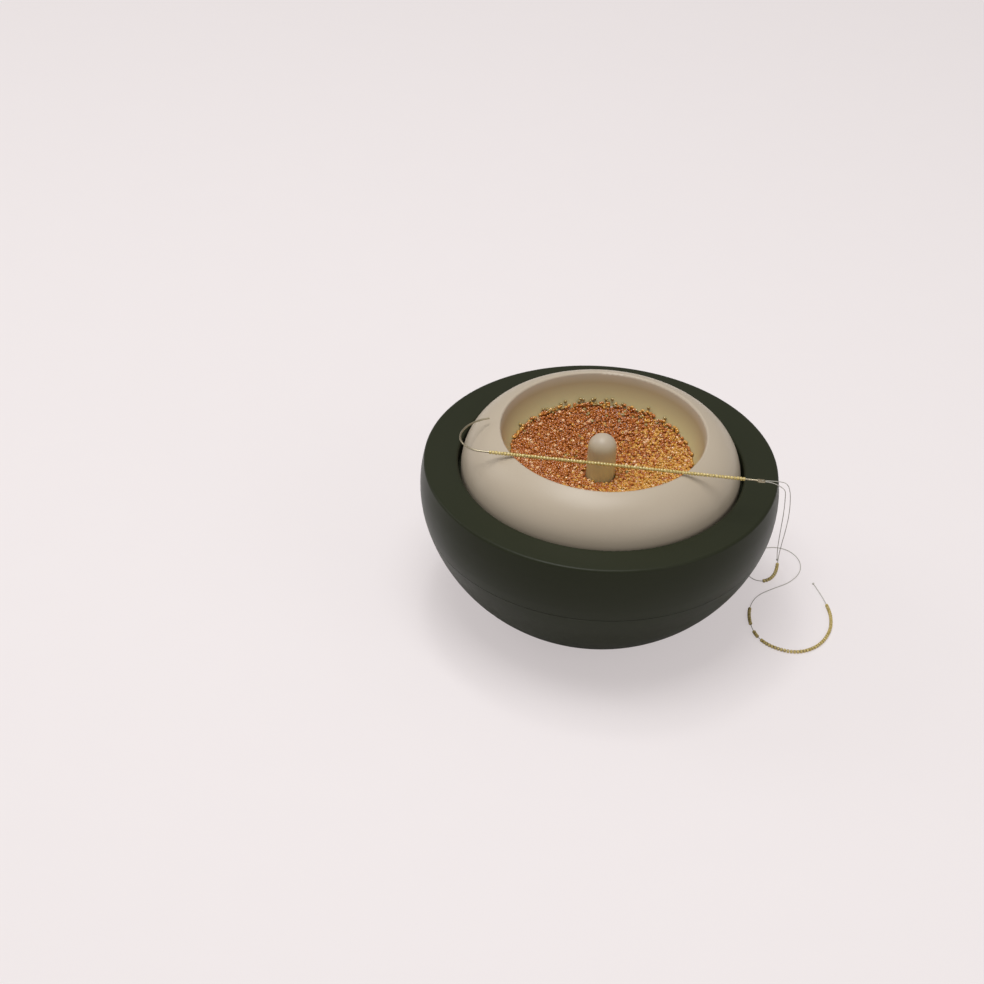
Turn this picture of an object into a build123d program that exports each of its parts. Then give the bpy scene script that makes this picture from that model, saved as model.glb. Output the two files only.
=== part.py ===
from build123d import *
import math
import os

# Electric bead spinner: a round dark base on rubber feet turns a cream bowl of seed beads,
# and a hooked needle with a doubled thread lies across the bowl. Sizes are in millimetres.
# The origin is on the table under the middle of the base, +Z is up, and the front faces -Y.

# Base outside
rim_radius = 90.0
rim_z = 84.0
base_z = 2.2
base_flat_share = 0.5244
base_round = 1.2
seam_share = 0.98444
seam_z = 52.0
seam_lean = 18.0
wall = 2.5
seam_gap = 0.25
tongue_height = 1.8
tongue_wall = 1.1
edge_round = 1.4
fit = 0.15
seat = 0.3
overrun = 5.0

# Bowl
opening_share = 0.7303
lip_z = 104.6
lip_round = 1.3
skirt_share = 0.7911
skirt_z = 80.0
skirt_drop = 3.0
bowl_wall = 2.2
dish_mid_share = 0.8269
dish_mid_z = 82.0
dish_floor_share = 0.4231
dish_floor_z = 61.0
post_radius = 7.3
post_top_z = 101.0
boss_radius = 14.0
boss_z = 55.0

# Beads in the bowl
bead_edge_z = 88.5
bead_low_z = 77.3
bead_sag_share = 0.30
bead_clearance = 0.2

# Well that the bowl turns in
recess_gap = 1.6
shelf_z = 74.5
well_gap = 2.5
well_floor_z = 56.0
hub_pit_radius = 16.0
hub_pit_z = 50.3
well_wall = 2.4

# Drive spindle
shaft_radius = 3.0
shaft_bottom_z = 26.0
running = 0.05
sleeve_radius = 5.0
sleeve_top_z = 91.0
socket_clearance = 0.08
hub_flange_radius = 13.0
hub_flange_z = 51.6
dog_place_radius = 9.2
dog_size = 4.0
dog_height = 2.4
dog_clearance = 0.3
upper_bush_radius = 5.6
upper_bush_flange_radius = 8.0
bush_flange = 1.0
lower_bush_radius = 5.0
lower_bush_flange_radius = 7.0
lower_bush_top = 0.6
clip_thickness = 0.8
clip_radius = 5.0
groove_depth = 0.6

# Gear plate and its posts
plate_z = 30.0
plate_thickness = 2.4
plate_width = 51.0
plate_front_y = -29.0
plate_back_y = 53.6
plate_corner = 4.0
plate_post_x = 20.0
plate_post_y = 24.0
plate_post_radius = 3.6
small_screw_radius = 1.15
small_head_radius = 2.3
small_head_height = 1.6
small_screw_length = 10.0
pilot_clearance = 0.05
hole_clearance = 0.25

# Gear train
pressure_angle = 25.0
spindle_module = 0.8
spindle_teeth = 48
idler_small_teeth = 12
motor_module = 0.6
idler_big_teeth = 40
pinion_teeth = 12
backlash = 0.12
root_share = 1.25
flank_steps = 4
half_turn = 180.0
rear_tooth = 90.0
big_gear_z = 34.0
big_gear_face = 3.0
spindle_gear_z = 38.0
spindle_gear_face = 5.0
gear_hub_radius = 7.0
idler_axle_radius = 1.5
idler_hub_radius = 3.0
idler_boss_radius = 3.6
idler_boss_z = 44.0
axle_head_radius = 2.6
axle_head_height = 1.4
axle_top_z = 46.6

# Motor
motor_radius = 12.0
motor_can_height = 19.0
motor_can_wall = 0.8
motor_cap_height = 3.0
motor_boss_radius = 3.0
motor_boss_height = 1.6
motor_shaft_radius = 1.0
motor_screw_x = 8.5
motor_screw_radius = 1.25
motor_head_radius = 2.2
motor_head_height = 1.4
motor_screw_length = 1.2
armature_radius = 8.0
armature_height = 13.0
armature_slots = 3
armature_slot_width = 1.6
magnet_thickness = 1.9
magnet_height = 15.0
magnet_angle = 120.0
motor_tab_length = 4.6
motor_tab_width = 2.4
tab_thickness = 0.5

# Battery tray, cells and door
cell_radius = 7.25
cell_length = 50.5
nub_radius = 2.75
nub_length = 1.0
cell_pitch = 16.0
cell_lift = 0.35
tray_length = 59.4
tray_width = 32.4
tray_wall = 1.8
tray_top_z = 19.8
contact_width = 12.0
contact_height = 11.0
spring_big_radius = 4.5
spring_small_radius = 3.0
button_radius = 2.2
button_height = 0.5
contact_tab_length = 4.6
contact_tab_width = 3.0
contact_tab_z = 15.0
door_length = 77.0
door_width = 36.0
door_thickness = 2.0
door_corner = 3.0
door_frame = 2.4
door_screw_x = 34.7
door_boss_radius = 3.2
door_boss_z = 12.0
door_screw_length = 7.0
door_head_height = 1.0
notch_length = 14.0
notch_width = 3.0
notch_depth = 0.9

# Feet and housing screws
foot_radius = 5.5
foot_height = 3.0
foot_round = 0.6
foot_place_share = 0.45
screw_place_share = 0.8
screw_post_radius = 4.2
screw_post_gap = 0.05
housing_screw_radius = 1.45
housing_head_radius = 2.8
housing_head_height = 2.0
housing_screw_length = 16.0
housing_head_z = 40.0
housing_pilot_depth = 14.0
counterbore_clearance = 0.4

# Direction switch in the rear wall
switch_z = 66.0
pocket_depth = 2.8
pocket_width = 27.0
pocket_height = 17.0
pocket_back = 2.6
pocket_margin = 2.2
bezel_width = 24.0
bezel_height = 15.0
bezel_thickness = 1.4
switch_width = 18.0
switch_height = 12.0
switch_depth = 10.0
switch_floor = 1.8
window_width = 16.8
window_height = 10.0
rocker_width = 15.2
rocker_height = 9.4
rocker_taper = 0.4
rocker_length = 9.5
rocker_reach = 3.8
rocker_dip = 1.3
rocker_axis_depth = 2.7
trunnion_radius = 1.0
trunnion_length = 0.7
terminal_width = 2.4
terminal_length = 4.5
terminal_pitch = 5.0

# Wires inside
wire_radius = 0.7

# Needle, thread and strung beads
needle_radius = 0.45
needle_clearance = 0.3
needle_end = (80.3, -37.8)
needle_bend = (-60.5, -27.4)
needle_far = (-71.3, -12.4)
needle_tip = (-57.8, 1.9)
eye_length = 4.4
eye_width = 2.0
eye_thickness = 0.7
eye_hole_length = 2.6
eye_hole_width = 0.9
strung_radius = 0.95
strung_length = 1.4
strung_pitch = 1.5
thread_pitch = 1.72
strung_round = 0.3
strung_hole_clearance = 0.15
bare_by_eye = 7.0
bare_by_bend = 3.0
thread_radius = 0.2
strand_offset = 0.25
knot_radius = 0.6


def circle_through(a, b, c):
    """Centre and radius of the circle through three points."""
    (ax, ay), (bx, by), (cx, cy) = a, b, c
    turn = 2 * (ax * (by - cy) + bx * (cy - ay) + cx * (ay - by))
    a2, b2, c2 = ax**2 + ay**2, bx**2 + by**2, cx**2 + cy**2
    x = (a2 * (by - cy) + b2 * (cy - ay) + c2 * (ay - by)) / turn
    y = (a2 * (cx - bx) + b2 * (ax - cx) + c2 * (bx - ax)) / turn
    return (x, y), math.hypot(ax - x, ay - y)


def across(centre, radius, z):
    """Distance from the axis of a profile's circle at height z."""
    return centre[0] + math.sqrt(radius**2 - (z - centre[1]) ** 2)


def above(centre, radius, r):
    """Height of a profile's circle at distance r from the axis, on its upper side."""
    return centre[1] + math.sqrt(radius**2 - (r - centre[0]) ** 2)


def profile_arc(centre, radius, z_from, z_to):
    """Arc of a profile's circle between two heights, on its outer side."""
    heights = (z_from, (z_from + z_to) / 2, z_to)
    points = [(across(centre, radius, z), z) for z in heights]
    return ThreePointArc(*points)


def gear_outline(teeth, module, first_tooth):
    """Closed involute outline, with one tooth pointing at the angle first_tooth in degrees."""
    pitch_r = module * teeth / 2
    base_r = pitch_r * math.cos(math.radians(pressure_angle))
    tip_r = pitch_r + module
    root_r = pitch_r - root_share * module
    start_r = max(base_r, root_r)
    roll = math.radians(pressure_angle)
    half_pitch = math.pi / (2 * teeth) - backlash / (2 * pitch_r) + math.tan(roll) - roll
    flank = []
    for step in range(flank_steps + 1):
        r = start_r + (tip_r - start_r) * step / flank_steps
        angle = math.acos(min(1, base_r / r))
        flank.append((r, half_pitch - math.tan(angle) + angle))
    if start_r > root_r:
        flank.insert(0, (root_r, flank[0][1]))
    points = []
    for tooth in range(teeth):
        middle = math.radians(first_tooth) + 2 * math.pi * tooth / teeth
        sides = [(r, middle - half) for r, half in flank]
        sides += [(r, middle + half) for r, half in reversed(flank)]
        points += [(r * math.cos(a), r * math.sin(a)) for r, a in sides]
    return points


def corner_radii(route):
    """Radius of each corner's arc: 0.45 of the shorter run over the tangent of half the turn."""
    radii = []
    for before, here, after in zip(route, route[1:], route[2:]):
        run_in = Vector(*here) - Vector(*before)
        run_out = Vector(*after) - Vector(*here)
        half_turn = math.radians(run_in.get_angle(run_out)) / 2
        radii.append(0.45 * min(run_in.length, run_out.length) / math.tan(half_turn))
    return radii


def circles_meet(centre_a, radius_a, centre_b, radius_b):
    """The higher of the two points where two circles of the profile cross."""
    dx, dz = centre_b[0] - centre_a[0], centre_b[1] - centre_a[1]
    apart = math.hypot(dx, dz)
    along = (apart**2 + radius_a**2 - radius_b**2) / (2 * apart)
    aside = math.sqrt(radius_a**2 - along**2)
    x, z = centre_a[0] + along * dx / apart, centre_a[1] + along * dz / apart
    crossings = [(x + side * dz / apart, z - side * dx / apart) for side in (aside, -aside)]
    return max(crossings, key=lambda point: point[1])


def rear_plane(y, z):
    """Upright plane that faces the rear, with its middle at height z."""
    return Plane(origin=(0, y, z), x_dir=(1, 0, 0), z_dir=(0, 1, 0))


def tube(name, route, radius):
    """Round tube along a route of straight runs joined by tangent arcs, and its centre line."""
    radii = corner_radii(route)
    with BuildPart() as piece:
        with BuildLine() as line:
            FilletPolyline(*route, radius=radii)
        centre_line = line.wire()
        with BuildSketch(Plane(origin=centre_line @ 0, z_dir=centre_line % 0)):
            Circle(radius)
        sweep(path=centre_line)
    expected = math.pi * radius**2 * centre_line.length
    print(f"{name}: length {centre_line.length:.1f}, radii", *[f"{r:.1f}" for r in radii])
    print(f"{name}: volume {piece.part.volume:.2f}, section times length {expected:.2f}")
    return piece.part, centre_line


def bead_places(line, start, end, pitch):
    """Places of strung beads along a line, between two distances from its start."""
    count = int((end - start) / pitch)
    places = []
    for number in range(count):
        along = (start + (number + 0.5) * pitch) / line.length
        places.append(Plane(origin=line @ along, z_dir=line % along).location)
    return places


def station(line, point):
    """Distance along a line to its nearest place to a point."""
    nearest = line.distance_to_with_closest_points(Vector(*point))[1]
    return line.param_at_point(nearest) * line.length


# The rim's radius drives the radii of the base and the bowl.
seam_radius = rim_radius * seam_share
base_flat_radius = rim_radius * base_flat_share
skirt_radius = rim_radius * skirt_share
opening_radius = skirt_radius * opening_share
dish_mid_radius = opening_radius * dish_mid_share
dish_floor_radius = opening_radius * dish_floor_share
foot_place_radius = rim_radius * foot_place_share
screw_place_radius = rim_radius * screw_place_share
pocket_y = rim_radius - pocket_depth
rocker_axis_y = pocket_y - rocker_axis_depth
rocker_end_y = pocket_y + rocker_reach
rocker_back_y = rocker_end_y - rocker_length

# The side of the base is two arcs that share a tangent at the seam.
lean = math.radians(seam_lean)
rim_dr = rim_radius - seam_radius
rim_dz = rim_z - seam_z
side_arc_radius = (rim_dr**2 + rim_dz**2) / (
    2 * (rim_dz * math.sin(lean) - rim_dr * math.cos(lean))
)
side_centre = (
    seam_radius - side_arc_radius * math.cos(lean),
    seam_z + side_arc_radius * math.sin(lean),
)
flat_dr = seam_radius - base_flat_radius
flat_dz = seam_z - base_z
lower_arc_radius = (flat_dr**2 + flat_dz**2) / (
    2 * (flat_dr * math.cos(lean) - flat_dz * math.sin(lean))
)
lower_centre = (
    seam_radius - lower_arc_radius * math.cos(lean),
    seam_z + lower_arc_radius * math.sin(lean),
)
floor_z = base_z + wall
upper_edge_z = seam_z + seam_gap / 2
lower_edge_z = seam_z - seam_gap / 2
tongue_z = lower_edge_z + tongue_height

# The bowl's dish is one arc, and the well under it is the same arc pushed outwards.
dish_top_z = lip_z - lip_round
dish_centre, dish_radius = circle_through(
    (opening_radius, dish_top_z), (dish_mid_radius, dish_mid_z), (dish_floor_radius, dish_floor_z)
)
skirt_dr = skirt_radius - opening_radius
skirt_arc_radius = (skirt_dr**2 + (lip_z - skirt_z) ** 2) / (2 * skirt_dr)
skirt_centre = (skirt_radius - skirt_arc_radius, skirt_z)
skirt_edge_z = skirt_z - skirt_drop
recess_radius = skirt_radius + recess_gap
well_radius = dish_radius + bowl_wall + well_gap
well_back_radius = well_radius + well_wall
deck_under_z = rim_z - wall
recess_back_radius = recess_radius + well_wall
shelf_under_z = shelf_z - well_wall
well_under_z = well_floor_z - well_wall
pit_under_z = hub_pit_z - well_wall
pit_back_radius = hub_pit_radius + well_wall

# The gear train stands in a row behind the spindle.
idler_y = spindle_module * (spindle_teeth + idler_small_teeth) / 2
motor_y = idler_y + motor_module * (idler_big_teeth + pinion_teeth) / 2
plate_top_z = plate_z + plate_thickness
lower_bush_z = plate_z - bush_flange - seat
bush_top_z = plate_top_z + lower_bush_top
clip_z = lower_bush_z - seat - clip_thickness
spindle_gear_top_z = spindle_gear_z + spindle_gear_face
can_z = plate_z - motor_can_height
cap_z = can_z - motor_cap_height

post_places = [(x, y) for x in (-plate_post_x, plate_post_x) for y in (-plate_post_y, plate_post_y)]
diagonals = [45 + 90 * quarter for quarter in range(4)]
foot_places = [
    (foot_place_radius * math.cos(math.radians(a)), foot_place_radius * math.sin(math.radians(a)))
    for a in diagonals
]
screw_places = [
    (screw_place_radius * math.cos(math.radians(a)), screw_place_radius * math.sin(math.radians(a)))
    for a in diagonals
]
door_screw_places = [(-door_screw_x, 0), (door_screw_x, 0)]
motor_screw_places = [(-motor_screw_x, motor_y), (motor_screw_x, motor_y)]
door_top_z = base_z + door_thickness
door_recess_z = door_top_z + fit
tray_outer_length = tray_length + 2 * tray_wall
tray_outer_width = tray_width + 2 * tray_wall
tray_outer_z = tray_top_z + tray_wall
cell_z = door_top_z + cell_lift + cell_radius

tongue_inner = across(lower_centre, lower_arc_radius, lower_edge_z) - wall
tongue_outer = tongue_inner + tongue_wall

# Room inside the upper housing, around its bosses
with BuildPart() as upper_room:
    with BuildSketch(Plane.XZ):
        with BuildLine():
            wall_inner = side_arc_radius - wall
            profile_arc(side_centre, wall_inner, upper_edge_z, deck_under_z)
            Polyline(
                (across(side_centre, wall_inner, deck_under_z), deck_under_z),
                (recess_back_radius, deck_under_z),
                (recess_back_radius, shelf_under_z),
                (across(dish_centre, well_back_radius, shelf_under_z), shelf_under_z),
            )
            profile_arc(dish_centre, well_back_radius, shelf_under_z, well_under_z)
            Polyline(
                (across(dish_centre, well_back_radius, well_under_z), well_under_z),
                (pit_back_radius, well_under_z),
                (pit_back_radius, upper_edge_z),
                (across(side_centre, wall_inner, upper_edge_z), upper_edge_z),
            )
        make_face()
    revolve(axis=Axis.Z)
    with BuildSketch(Plane.XY.offset(upper_edge_z)):
        with Locations(*screw_places):
            Circle(screw_post_radius)
    extrude(amount=rim_z, mode=Mode.SUBTRACT)
    with BuildSketch(rear_plane(pocket_y - pocket_back, switch_z)):
        Rectangle(pocket_width + 2 * pocket_margin, pocket_height + 2 * pocket_margin)
    extrude(amount=wall + pocket_back + overrun, mode=Mode.SUBTRACT)

# Upper housing: rim, deck, the recess for the bowl's skirt, and the well with the bush seat
with BuildPart() as upper_housing:
    with BuildSketch(Plane.XZ):
        with BuildLine():
            profile_arc(side_centre, side_arc_radius, upper_edge_z, rim_z)
            Polyline(
                (rim_radius, rim_z),
                (recess_radius, rim_z),
                (recess_radius, shelf_z),
                (across(dish_centre, well_radius, shelf_z), shelf_z),
            )
            profile_arc(dish_centre, well_radius, shelf_z, well_floor_z)
            Polyline(
                (across(dish_centre, well_radius, well_floor_z), well_floor_z),
                (hub_pit_radius, well_floor_z),
                (hub_pit_radius, hub_pit_z),
                (upper_bush_radius + running, hub_pit_z),
                (upper_bush_radius + running, pit_under_z),
                (pit_back_radius, pit_under_z),
                (pit_back_radius, upper_edge_z),
                (across(side_centre, side_arc_radius, upper_edge_z), upper_edge_z),
            )
        make_face()
    revolve(axis=Axis.Z)
    rim_edges = upper_housing.edges().filter_by(GeomType.CIRCLE).group_by(Axis.Z)[-1]
    fillet(rim_edges, radius=edge_round)
    add(upper_room.part, mode=Mode.SUBTRACT)
    with BuildSketch(Plane.XY.offset(upper_edge_z)):
        Circle(tongue_outer + fit)
        Circle(tongue_inner - fit, mode=Mode.SUBTRACT)
    extrude(amount=tongue_z + fit - upper_edge_z, mode=Mode.SUBTRACT)
    with BuildSketch(Plane.XY.offset(upper_edge_z)):
        with Locations(*screw_places):
            Circle(housing_screw_radius + pilot_clearance)
    extrude(amount=housing_pilot_depth, mode=Mode.SUBTRACT)
    with BuildSketch(Plane.XY.offset(idler_boss_z)):
        with Locations((0, idler_y)):
            Circle(idler_boss_radius)
    extrude(amount=well_floor_z - seat - idler_boss_z)
    with BuildSketch(Plane.XY.offset(idler_boss_z)):
        with Locations((0, idler_y)):
            Circle(idler_axle_radius + running)
    extrude(amount=axle_top_z + seat - idler_boss_z, mode=Mode.SUBTRACT)
    with BuildSketch(rear_plane(pocket_y, switch_z)):
        RectangleRounded(pocket_width, pocket_height, edge_round)
    extrude(amount=overrun + wall, mode=Mode.SUBTRACT)
    with BuildSketch(rear_plane(pocket_y, switch_z)):
        Rectangle(switch_width + 2 * fit, switch_height + 2 * fit)
    extrude(amount=-pocket_back - overrun, mode=Mode.SUBTRACT)
upper_housing.part.label = "upper_housing"

# Room inside the lower housing, around its posts and the battery tray
with BuildPart() as lower_room:
    with BuildSketch(Plane.XZ):
        with BuildLine():
            wall_inner = lower_arc_radius - wall
            Polyline(
                (across(lower_centre, wall_inner, lower_edge_z), lower_edge_z),
                (tongue_inner, lower_edge_z),
                (tongue_inner, tongue_z + overrun),
                (0, tongue_z + overrun),
                (0, floor_z),
                (across(lower_centre, wall_inner, floor_z), floor_z),
            )
            profile_arc(lower_centre, wall_inner, floor_z, lower_edge_z)
        make_face()
    revolve(axis=Axis.Z)
    with BuildSketch():
        with Locations(*screw_places):
            Circle(screw_post_radius)
    extrude(amount=seam_z - screw_post_gap, mode=Mode.SUBTRACT)
    with BuildSketch():
        with Locations(*post_places):
            Circle(plate_post_radius)
    extrude(amount=plate_z, mode=Mode.SUBTRACT)
    with BuildSketch():
        Rectangle(tray_outer_length, tray_outer_width)
    extrude(amount=tray_outer_z, mode=Mode.SUBTRACT)
    with BuildSketch():
        Rectangle(door_length + 2 * door_frame, door_width + 2 * door_frame)
    extrude(amount=door_recess_z + door_frame, mode=Mode.SUBTRACT)
    with BuildSketch():
        with Locations(*door_screw_places):
            Circle(door_boss_radius)
    extrude(amount=door_boss_z, mode=Mode.SUBTRACT)

# Lower housing: the dish of the base, with its posts, battery tray and screw holes
with BuildPart() as lower_housing:
    with BuildSketch(Plane.XZ):
        with BuildLine():
            profile_arc(lower_centre, lower_arc_radius, base_z, lower_edge_z)
            Polyline(
                (across(lower_centre, lower_arc_radius, lower_edge_z), lower_edge_z),
                (tongue_outer, lower_edge_z),
                (tongue_outer, tongue_z),
                (0, tongue_z),
                (0, base_z),
                (base_flat_radius, base_z),
            )
        make_face()
    revolve(axis=Axis.Z)
    base_edges = lower_housing.edges().filter_by(GeomType.CIRCLE).group_by(Axis.Z)[0]
    fillet(base_edges, radius=base_round)
    add(lower_room.part, mode=Mode.SUBTRACT)
    with BuildSketch():
        Rectangle(tray_length, tray_width)
    extrude(amount=tray_top_z, mode=Mode.SUBTRACT)
    with BuildSketch():
        RectangleRounded(door_length + 2 * fit, door_width + 2 * fit, door_corner + fit)
    extrude(amount=door_recess_z, mode=Mode.SUBTRACT)
    with BuildSketch():
        with Locations(*foot_places):
            Circle(foot_radius + fit)
    extrude(amount=foot_height + fit, mode=Mode.SUBTRACT)
    with BuildSketch():
        with Locations(*screw_places):
            Circle(housing_head_radius + counterbore_clearance)
    extrude(amount=housing_head_z, mode=Mode.SUBTRACT)
    with BuildSketch():
        with Locations(*screw_places):
            Circle(housing_screw_radius + hole_clearance)
    extrude(amount=seam_z, mode=Mode.SUBTRACT)
    plate_pilot_z = plate_top_z - small_screw_length - seat
    with BuildSketch(Plane.XY.offset(plate_pilot_z)):
        with Locations(*post_places):
            Circle(small_screw_radius + pilot_clearance)
    extrude(amount=plate_z - plate_pilot_z, mode=Mode.SUBTRACT)
    with BuildSketch():
        with Locations(*door_screw_places):
            Circle(small_screw_radius + pilot_clearance)
    extrude(amount=base_z + door_head_height + door_screw_length + seat, mode=Mode.SUBTRACT)
    slot_length = tray_wall + 2 * fit
    for slot_y in (-cell_pitch / 2, cell_pitch / 2):
        slot_x = -(tray_length + tray_outer_length) / 4
        with BuildSketch(Plane(origin=(slot_x, slot_y, contact_tab_z - fit))):
            Rectangle(slot_length, contact_tab_width + 2 * fit)
        extrude(amount=tab_thickness + 2 * fit, mode=Mode.SUBTRACT)
lower_housing.part.label = "lower_housing"

# Rubber feet in the recesses of the base
with BuildPart() as rubber_feet:
    with BuildSketch():
        with Locations(*foot_places):
            Circle(foot_radius)
    extrude(amount=foot_height)
    fillet(rubber_feet.edges().group_by(Axis.Z)[0], radius=foot_round)
rubber_feet.part.label = "rubber_feet"

# Screws that hold the two housings together
with BuildPart() as housing_screws:
    with BuildSketch(Plane.XY.offset(housing_head_z - housing_head_height)):
        with Locations(*screw_places):
            Circle(housing_head_radius)
    extrude(amount=housing_head_height)
    with BuildSketch(Plane.XY.offset(housing_head_z - housing_head_height)):
        with Locations(*screw_places):
            Circle(housing_screw_radius)
    extrude(amount=housing_head_height + housing_screw_length)
    with BuildSketch(Plane.XY.offset(housing_head_z - housing_head_height)):
        with Locations(*screw_places):
            Rectangle(housing_head_radius, housing_head_radius / 4)
            Rectangle(housing_head_radius / 4, housing_head_radius)
    extrude(amount=housing_head_height / 2, mode=Mode.SUBTRACT)
housing_screws.part.label = "housing_screws"

# Battery door, flush with the bottom, with a finger notch at the front edge
with BuildPart() as battery_door:
    with BuildSketch(Plane.XY.offset(base_z)):
        RectangleRounded(door_length, door_width, door_corner)
    extrude(amount=door_thickness)
    with BuildSketch(Plane.XY.offset(base_z)):
        with Locations(*door_screw_places):
            Circle(small_head_radius + hole_clearance)
    extrude(amount=door_head_height, mode=Mode.SUBTRACT)
    with BuildSketch(Plane.XY.offset(base_z)):
        with Locations(*door_screw_places):
            Circle(small_screw_radius + hole_clearance)
    extrude(amount=door_thickness, mode=Mode.SUBTRACT)
    with BuildSketch(Plane.XY.offset(base_z)):
        with Locations((0, -door_width / 2 + notch_width)):
            SlotOverall(notch_length, notch_width)
    extrude(amount=notch_depth, mode=Mode.SUBTRACT)
battery_door.part.label = "battery_door"

# Screws of the battery door
with BuildPart() as door_screws:
    with BuildSketch(Plane.XY.offset(base_z)):
        with Locations(*door_screw_places):
            Circle(small_head_radius)
    extrude(amount=door_head_height)
    with BuildSketch(Plane.XY.offset(base_z)):
        with Locations(*door_screw_places):
            Circle(small_screw_radius)
    extrude(amount=door_head_height + door_screw_length)
    with BuildSketch(Plane.XY.offset(base_z)):
        with Locations(*door_screw_places):
            Rectangle(small_head_radius, small_head_radius / 4)
            Rectangle(small_head_radius / 4, small_head_radius)
    extrude(amount=door_head_height / 2, mode=Mode.SUBTRACT)
door_screws.part.label = "door_screws"

# Battery cells, one each way round, lying along X
cells = []
for number, side in enumerate((1, -1)):
    nub_x = side * (tray_length / 2 - tab_thickness - button_height - fit)
    cell_y = side * cell_pitch / 2
    with BuildPart() as battery_cell:
        with BuildSketch(Plane(origin=(nub_x, cell_y, cell_z), z_dir=(-side, 0, 0))):
            Circle(nub_radius)
        extrude(amount=cell_length)
        with BuildSketch(Plane(origin=(nub_x - side * nub_length, cell_y, cell_z), z_dir=(-side, 0, 0))):
            Circle(cell_radius)
        extrude(amount=cell_length - nub_length)
    battery_cell.part.label = f"battery_cell_{number + 1}"
    cells.append(battery_cell.part)

# Battery contacts: a bridge at one end, and two contacts with tabs at the other
contact_z = cell_z - contact_height / 2
spring_gap = tray_length - 2 * tab_thickness - cell_length - button_height - 2 * fit


def contact(name, plates, springs, buttons, tabs):
    """Contact of flat plates (y, width) with springs, buttons and tabs at the listed y."""
    end = 1 if name == "battery_bridge" else -1
    plate_x = end * (tray_length / 2 - fit / 2)
    face_x = plate_x - end * tab_thickness
    with BuildPart() as piece:
        for y, width in plates:
            with BuildSketch(Plane(origin=(plate_x, y, contact_z + contact_height / 2), z_dir=(-end, 0, 0))):
                Rectangle(contact_height, width)
            extrude(amount=tab_thickness)
        for y in springs:
            with BuildSketch(Plane(origin=(face_x, y, cell_z), z_dir=(-end, 0, 0))):
                Circle(spring_big_radius)
            with BuildSketch(Plane(origin=(face_x - end * spring_gap, y, cell_z), z_dir=(-end, 0, 0))):
                Circle(spring_small_radius)
            loft()
        for y in buttons:
            with BuildSketch(Plane(origin=(face_x, y, cell_z), z_dir=(-end, 0, 0))):
                Circle(button_radius)
            extrude(amount=button_height - fit / 2)
        for y in tabs:
            with BuildSketch(Plane(origin=(plate_x, y, contact_tab_z + tab_thickness / 2), z_dir=(end, 0, 0))):
                Rectangle(tab_thickness, contact_tab_width)
            extrude(amount=contact_tab_length)
    piece.part.label = name
    return piece.part


half_pitch_y = cell_pitch / 2
bridge_width = cell_pitch + contact_width
battery_bridge = contact("battery_bridge", [(0, bridge_width)], [-half_pitch_y], [half_pitch_y], [])
battery_plus = contact(
    "battery_plus", [(-half_pitch_y, contact_width)], [], [-half_pitch_y], [-half_pitch_y]
)
battery_minus = contact(
    "battery_minus", [(half_pitch_y, contact_width)], [half_pitch_y], [], [half_pitch_y]
)

# Gear plate on its four posts
with BuildPart() as gear_plate:
    plate_depth = plate_back_y - plate_front_y
    with BuildSketch(Plane.XY.offset(plate_z)):
        with Locations((0, (plate_back_y + plate_front_y) / 2)):
            RectangleRounded(plate_width, plate_depth, plate_corner)
        Circle(lower_bush_radius + running, mode=Mode.SUBTRACT)
        with Locations((0, idler_y)):
            Circle(idler_axle_radius + running, mode=Mode.SUBTRACT)
        with Locations((0, motor_y)):
            Circle(motor_boss_radius + running, mode=Mode.SUBTRACT)
        with Locations(*motor_screw_places):
            Circle(motor_screw_radius + hole_clearance, mode=Mode.SUBTRACT)
        with Locations(*post_places):
            Circle(small_screw_radius + hole_clearance, mode=Mode.SUBTRACT)
    extrude(amount=plate_thickness)
gear_plate.part.label = "gear_plate"

# Screws of the gear plate
with BuildPart() as plate_screws:
    with BuildSketch(Plane.XY.offset(plate_top_z)):
        with Locations(*post_places):
            Circle(small_head_radius)
    extrude(amount=small_head_height)
    with BuildSketch(Plane.XY.offset(plate_top_z)):
        with Locations(*post_places):
            Circle(small_screw_radius)
    extrude(amount=-small_screw_length)
plate_screws.part.label = "plate_screws"

# Bush in the gear plate, with its flange under the plate
with BuildPart() as lower_bush:
    with BuildSketch(Plane.XY.offset(lower_bush_z)):
        Circle(lower_bush_flange_radius)
        Circle(shaft_radius + running, mode=Mode.SUBTRACT)
    extrude(amount=bush_flange)
    with BuildSketch(Plane.XY.offset(lower_bush_z)):
        Circle(lower_bush_radius)
        Circle(shaft_radius + running, mode=Mode.SUBTRACT)
    extrude(amount=bush_top_z - lower_bush_z)
lower_bush.part.label = "lower_bush"

# Bush in the floor of the well, with its flange on top
with BuildPart() as upper_bush:
    with BuildSketch(Plane.XY.offset(pit_under_z)):
        Circle(upper_bush_radius)
        Circle(shaft_radius + running, mode=Mode.SUBTRACT)
    extrude(amount=hub_pit_z + bush_flange - pit_under_z)
    with BuildSketch(Plane.XY.offset(hub_pit_z)):
        Circle(upper_bush_flange_radius)
        Circle(shaft_radius + running, mode=Mode.SUBTRACT)
    extrude(amount=bush_flange)
upper_bush.part.label = "upper_bush"

# Drive spindle: steel shaft with a groove for its clip
with BuildPart() as spindle_shaft:
    with BuildSketch(Plane.XY.offset(shaft_bottom_z)):
        Circle(shaft_radius)
    extrude(amount=sleeve_top_z - seat - shaft_bottom_z)
    chamfer(spindle_shaft.edges(), length=groove_depth)
    with BuildSketch(Plane.XY.offset(clip_z - running)):
        Circle(shaft_radius)
        Circle(shaft_radius - groove_depth, mode=Mode.SUBTRACT)
    extrude(amount=clip_thickness + 2 * running, mode=Mode.SUBTRACT)
spindle_shaft.part.label = "spindle_shaft"

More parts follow.
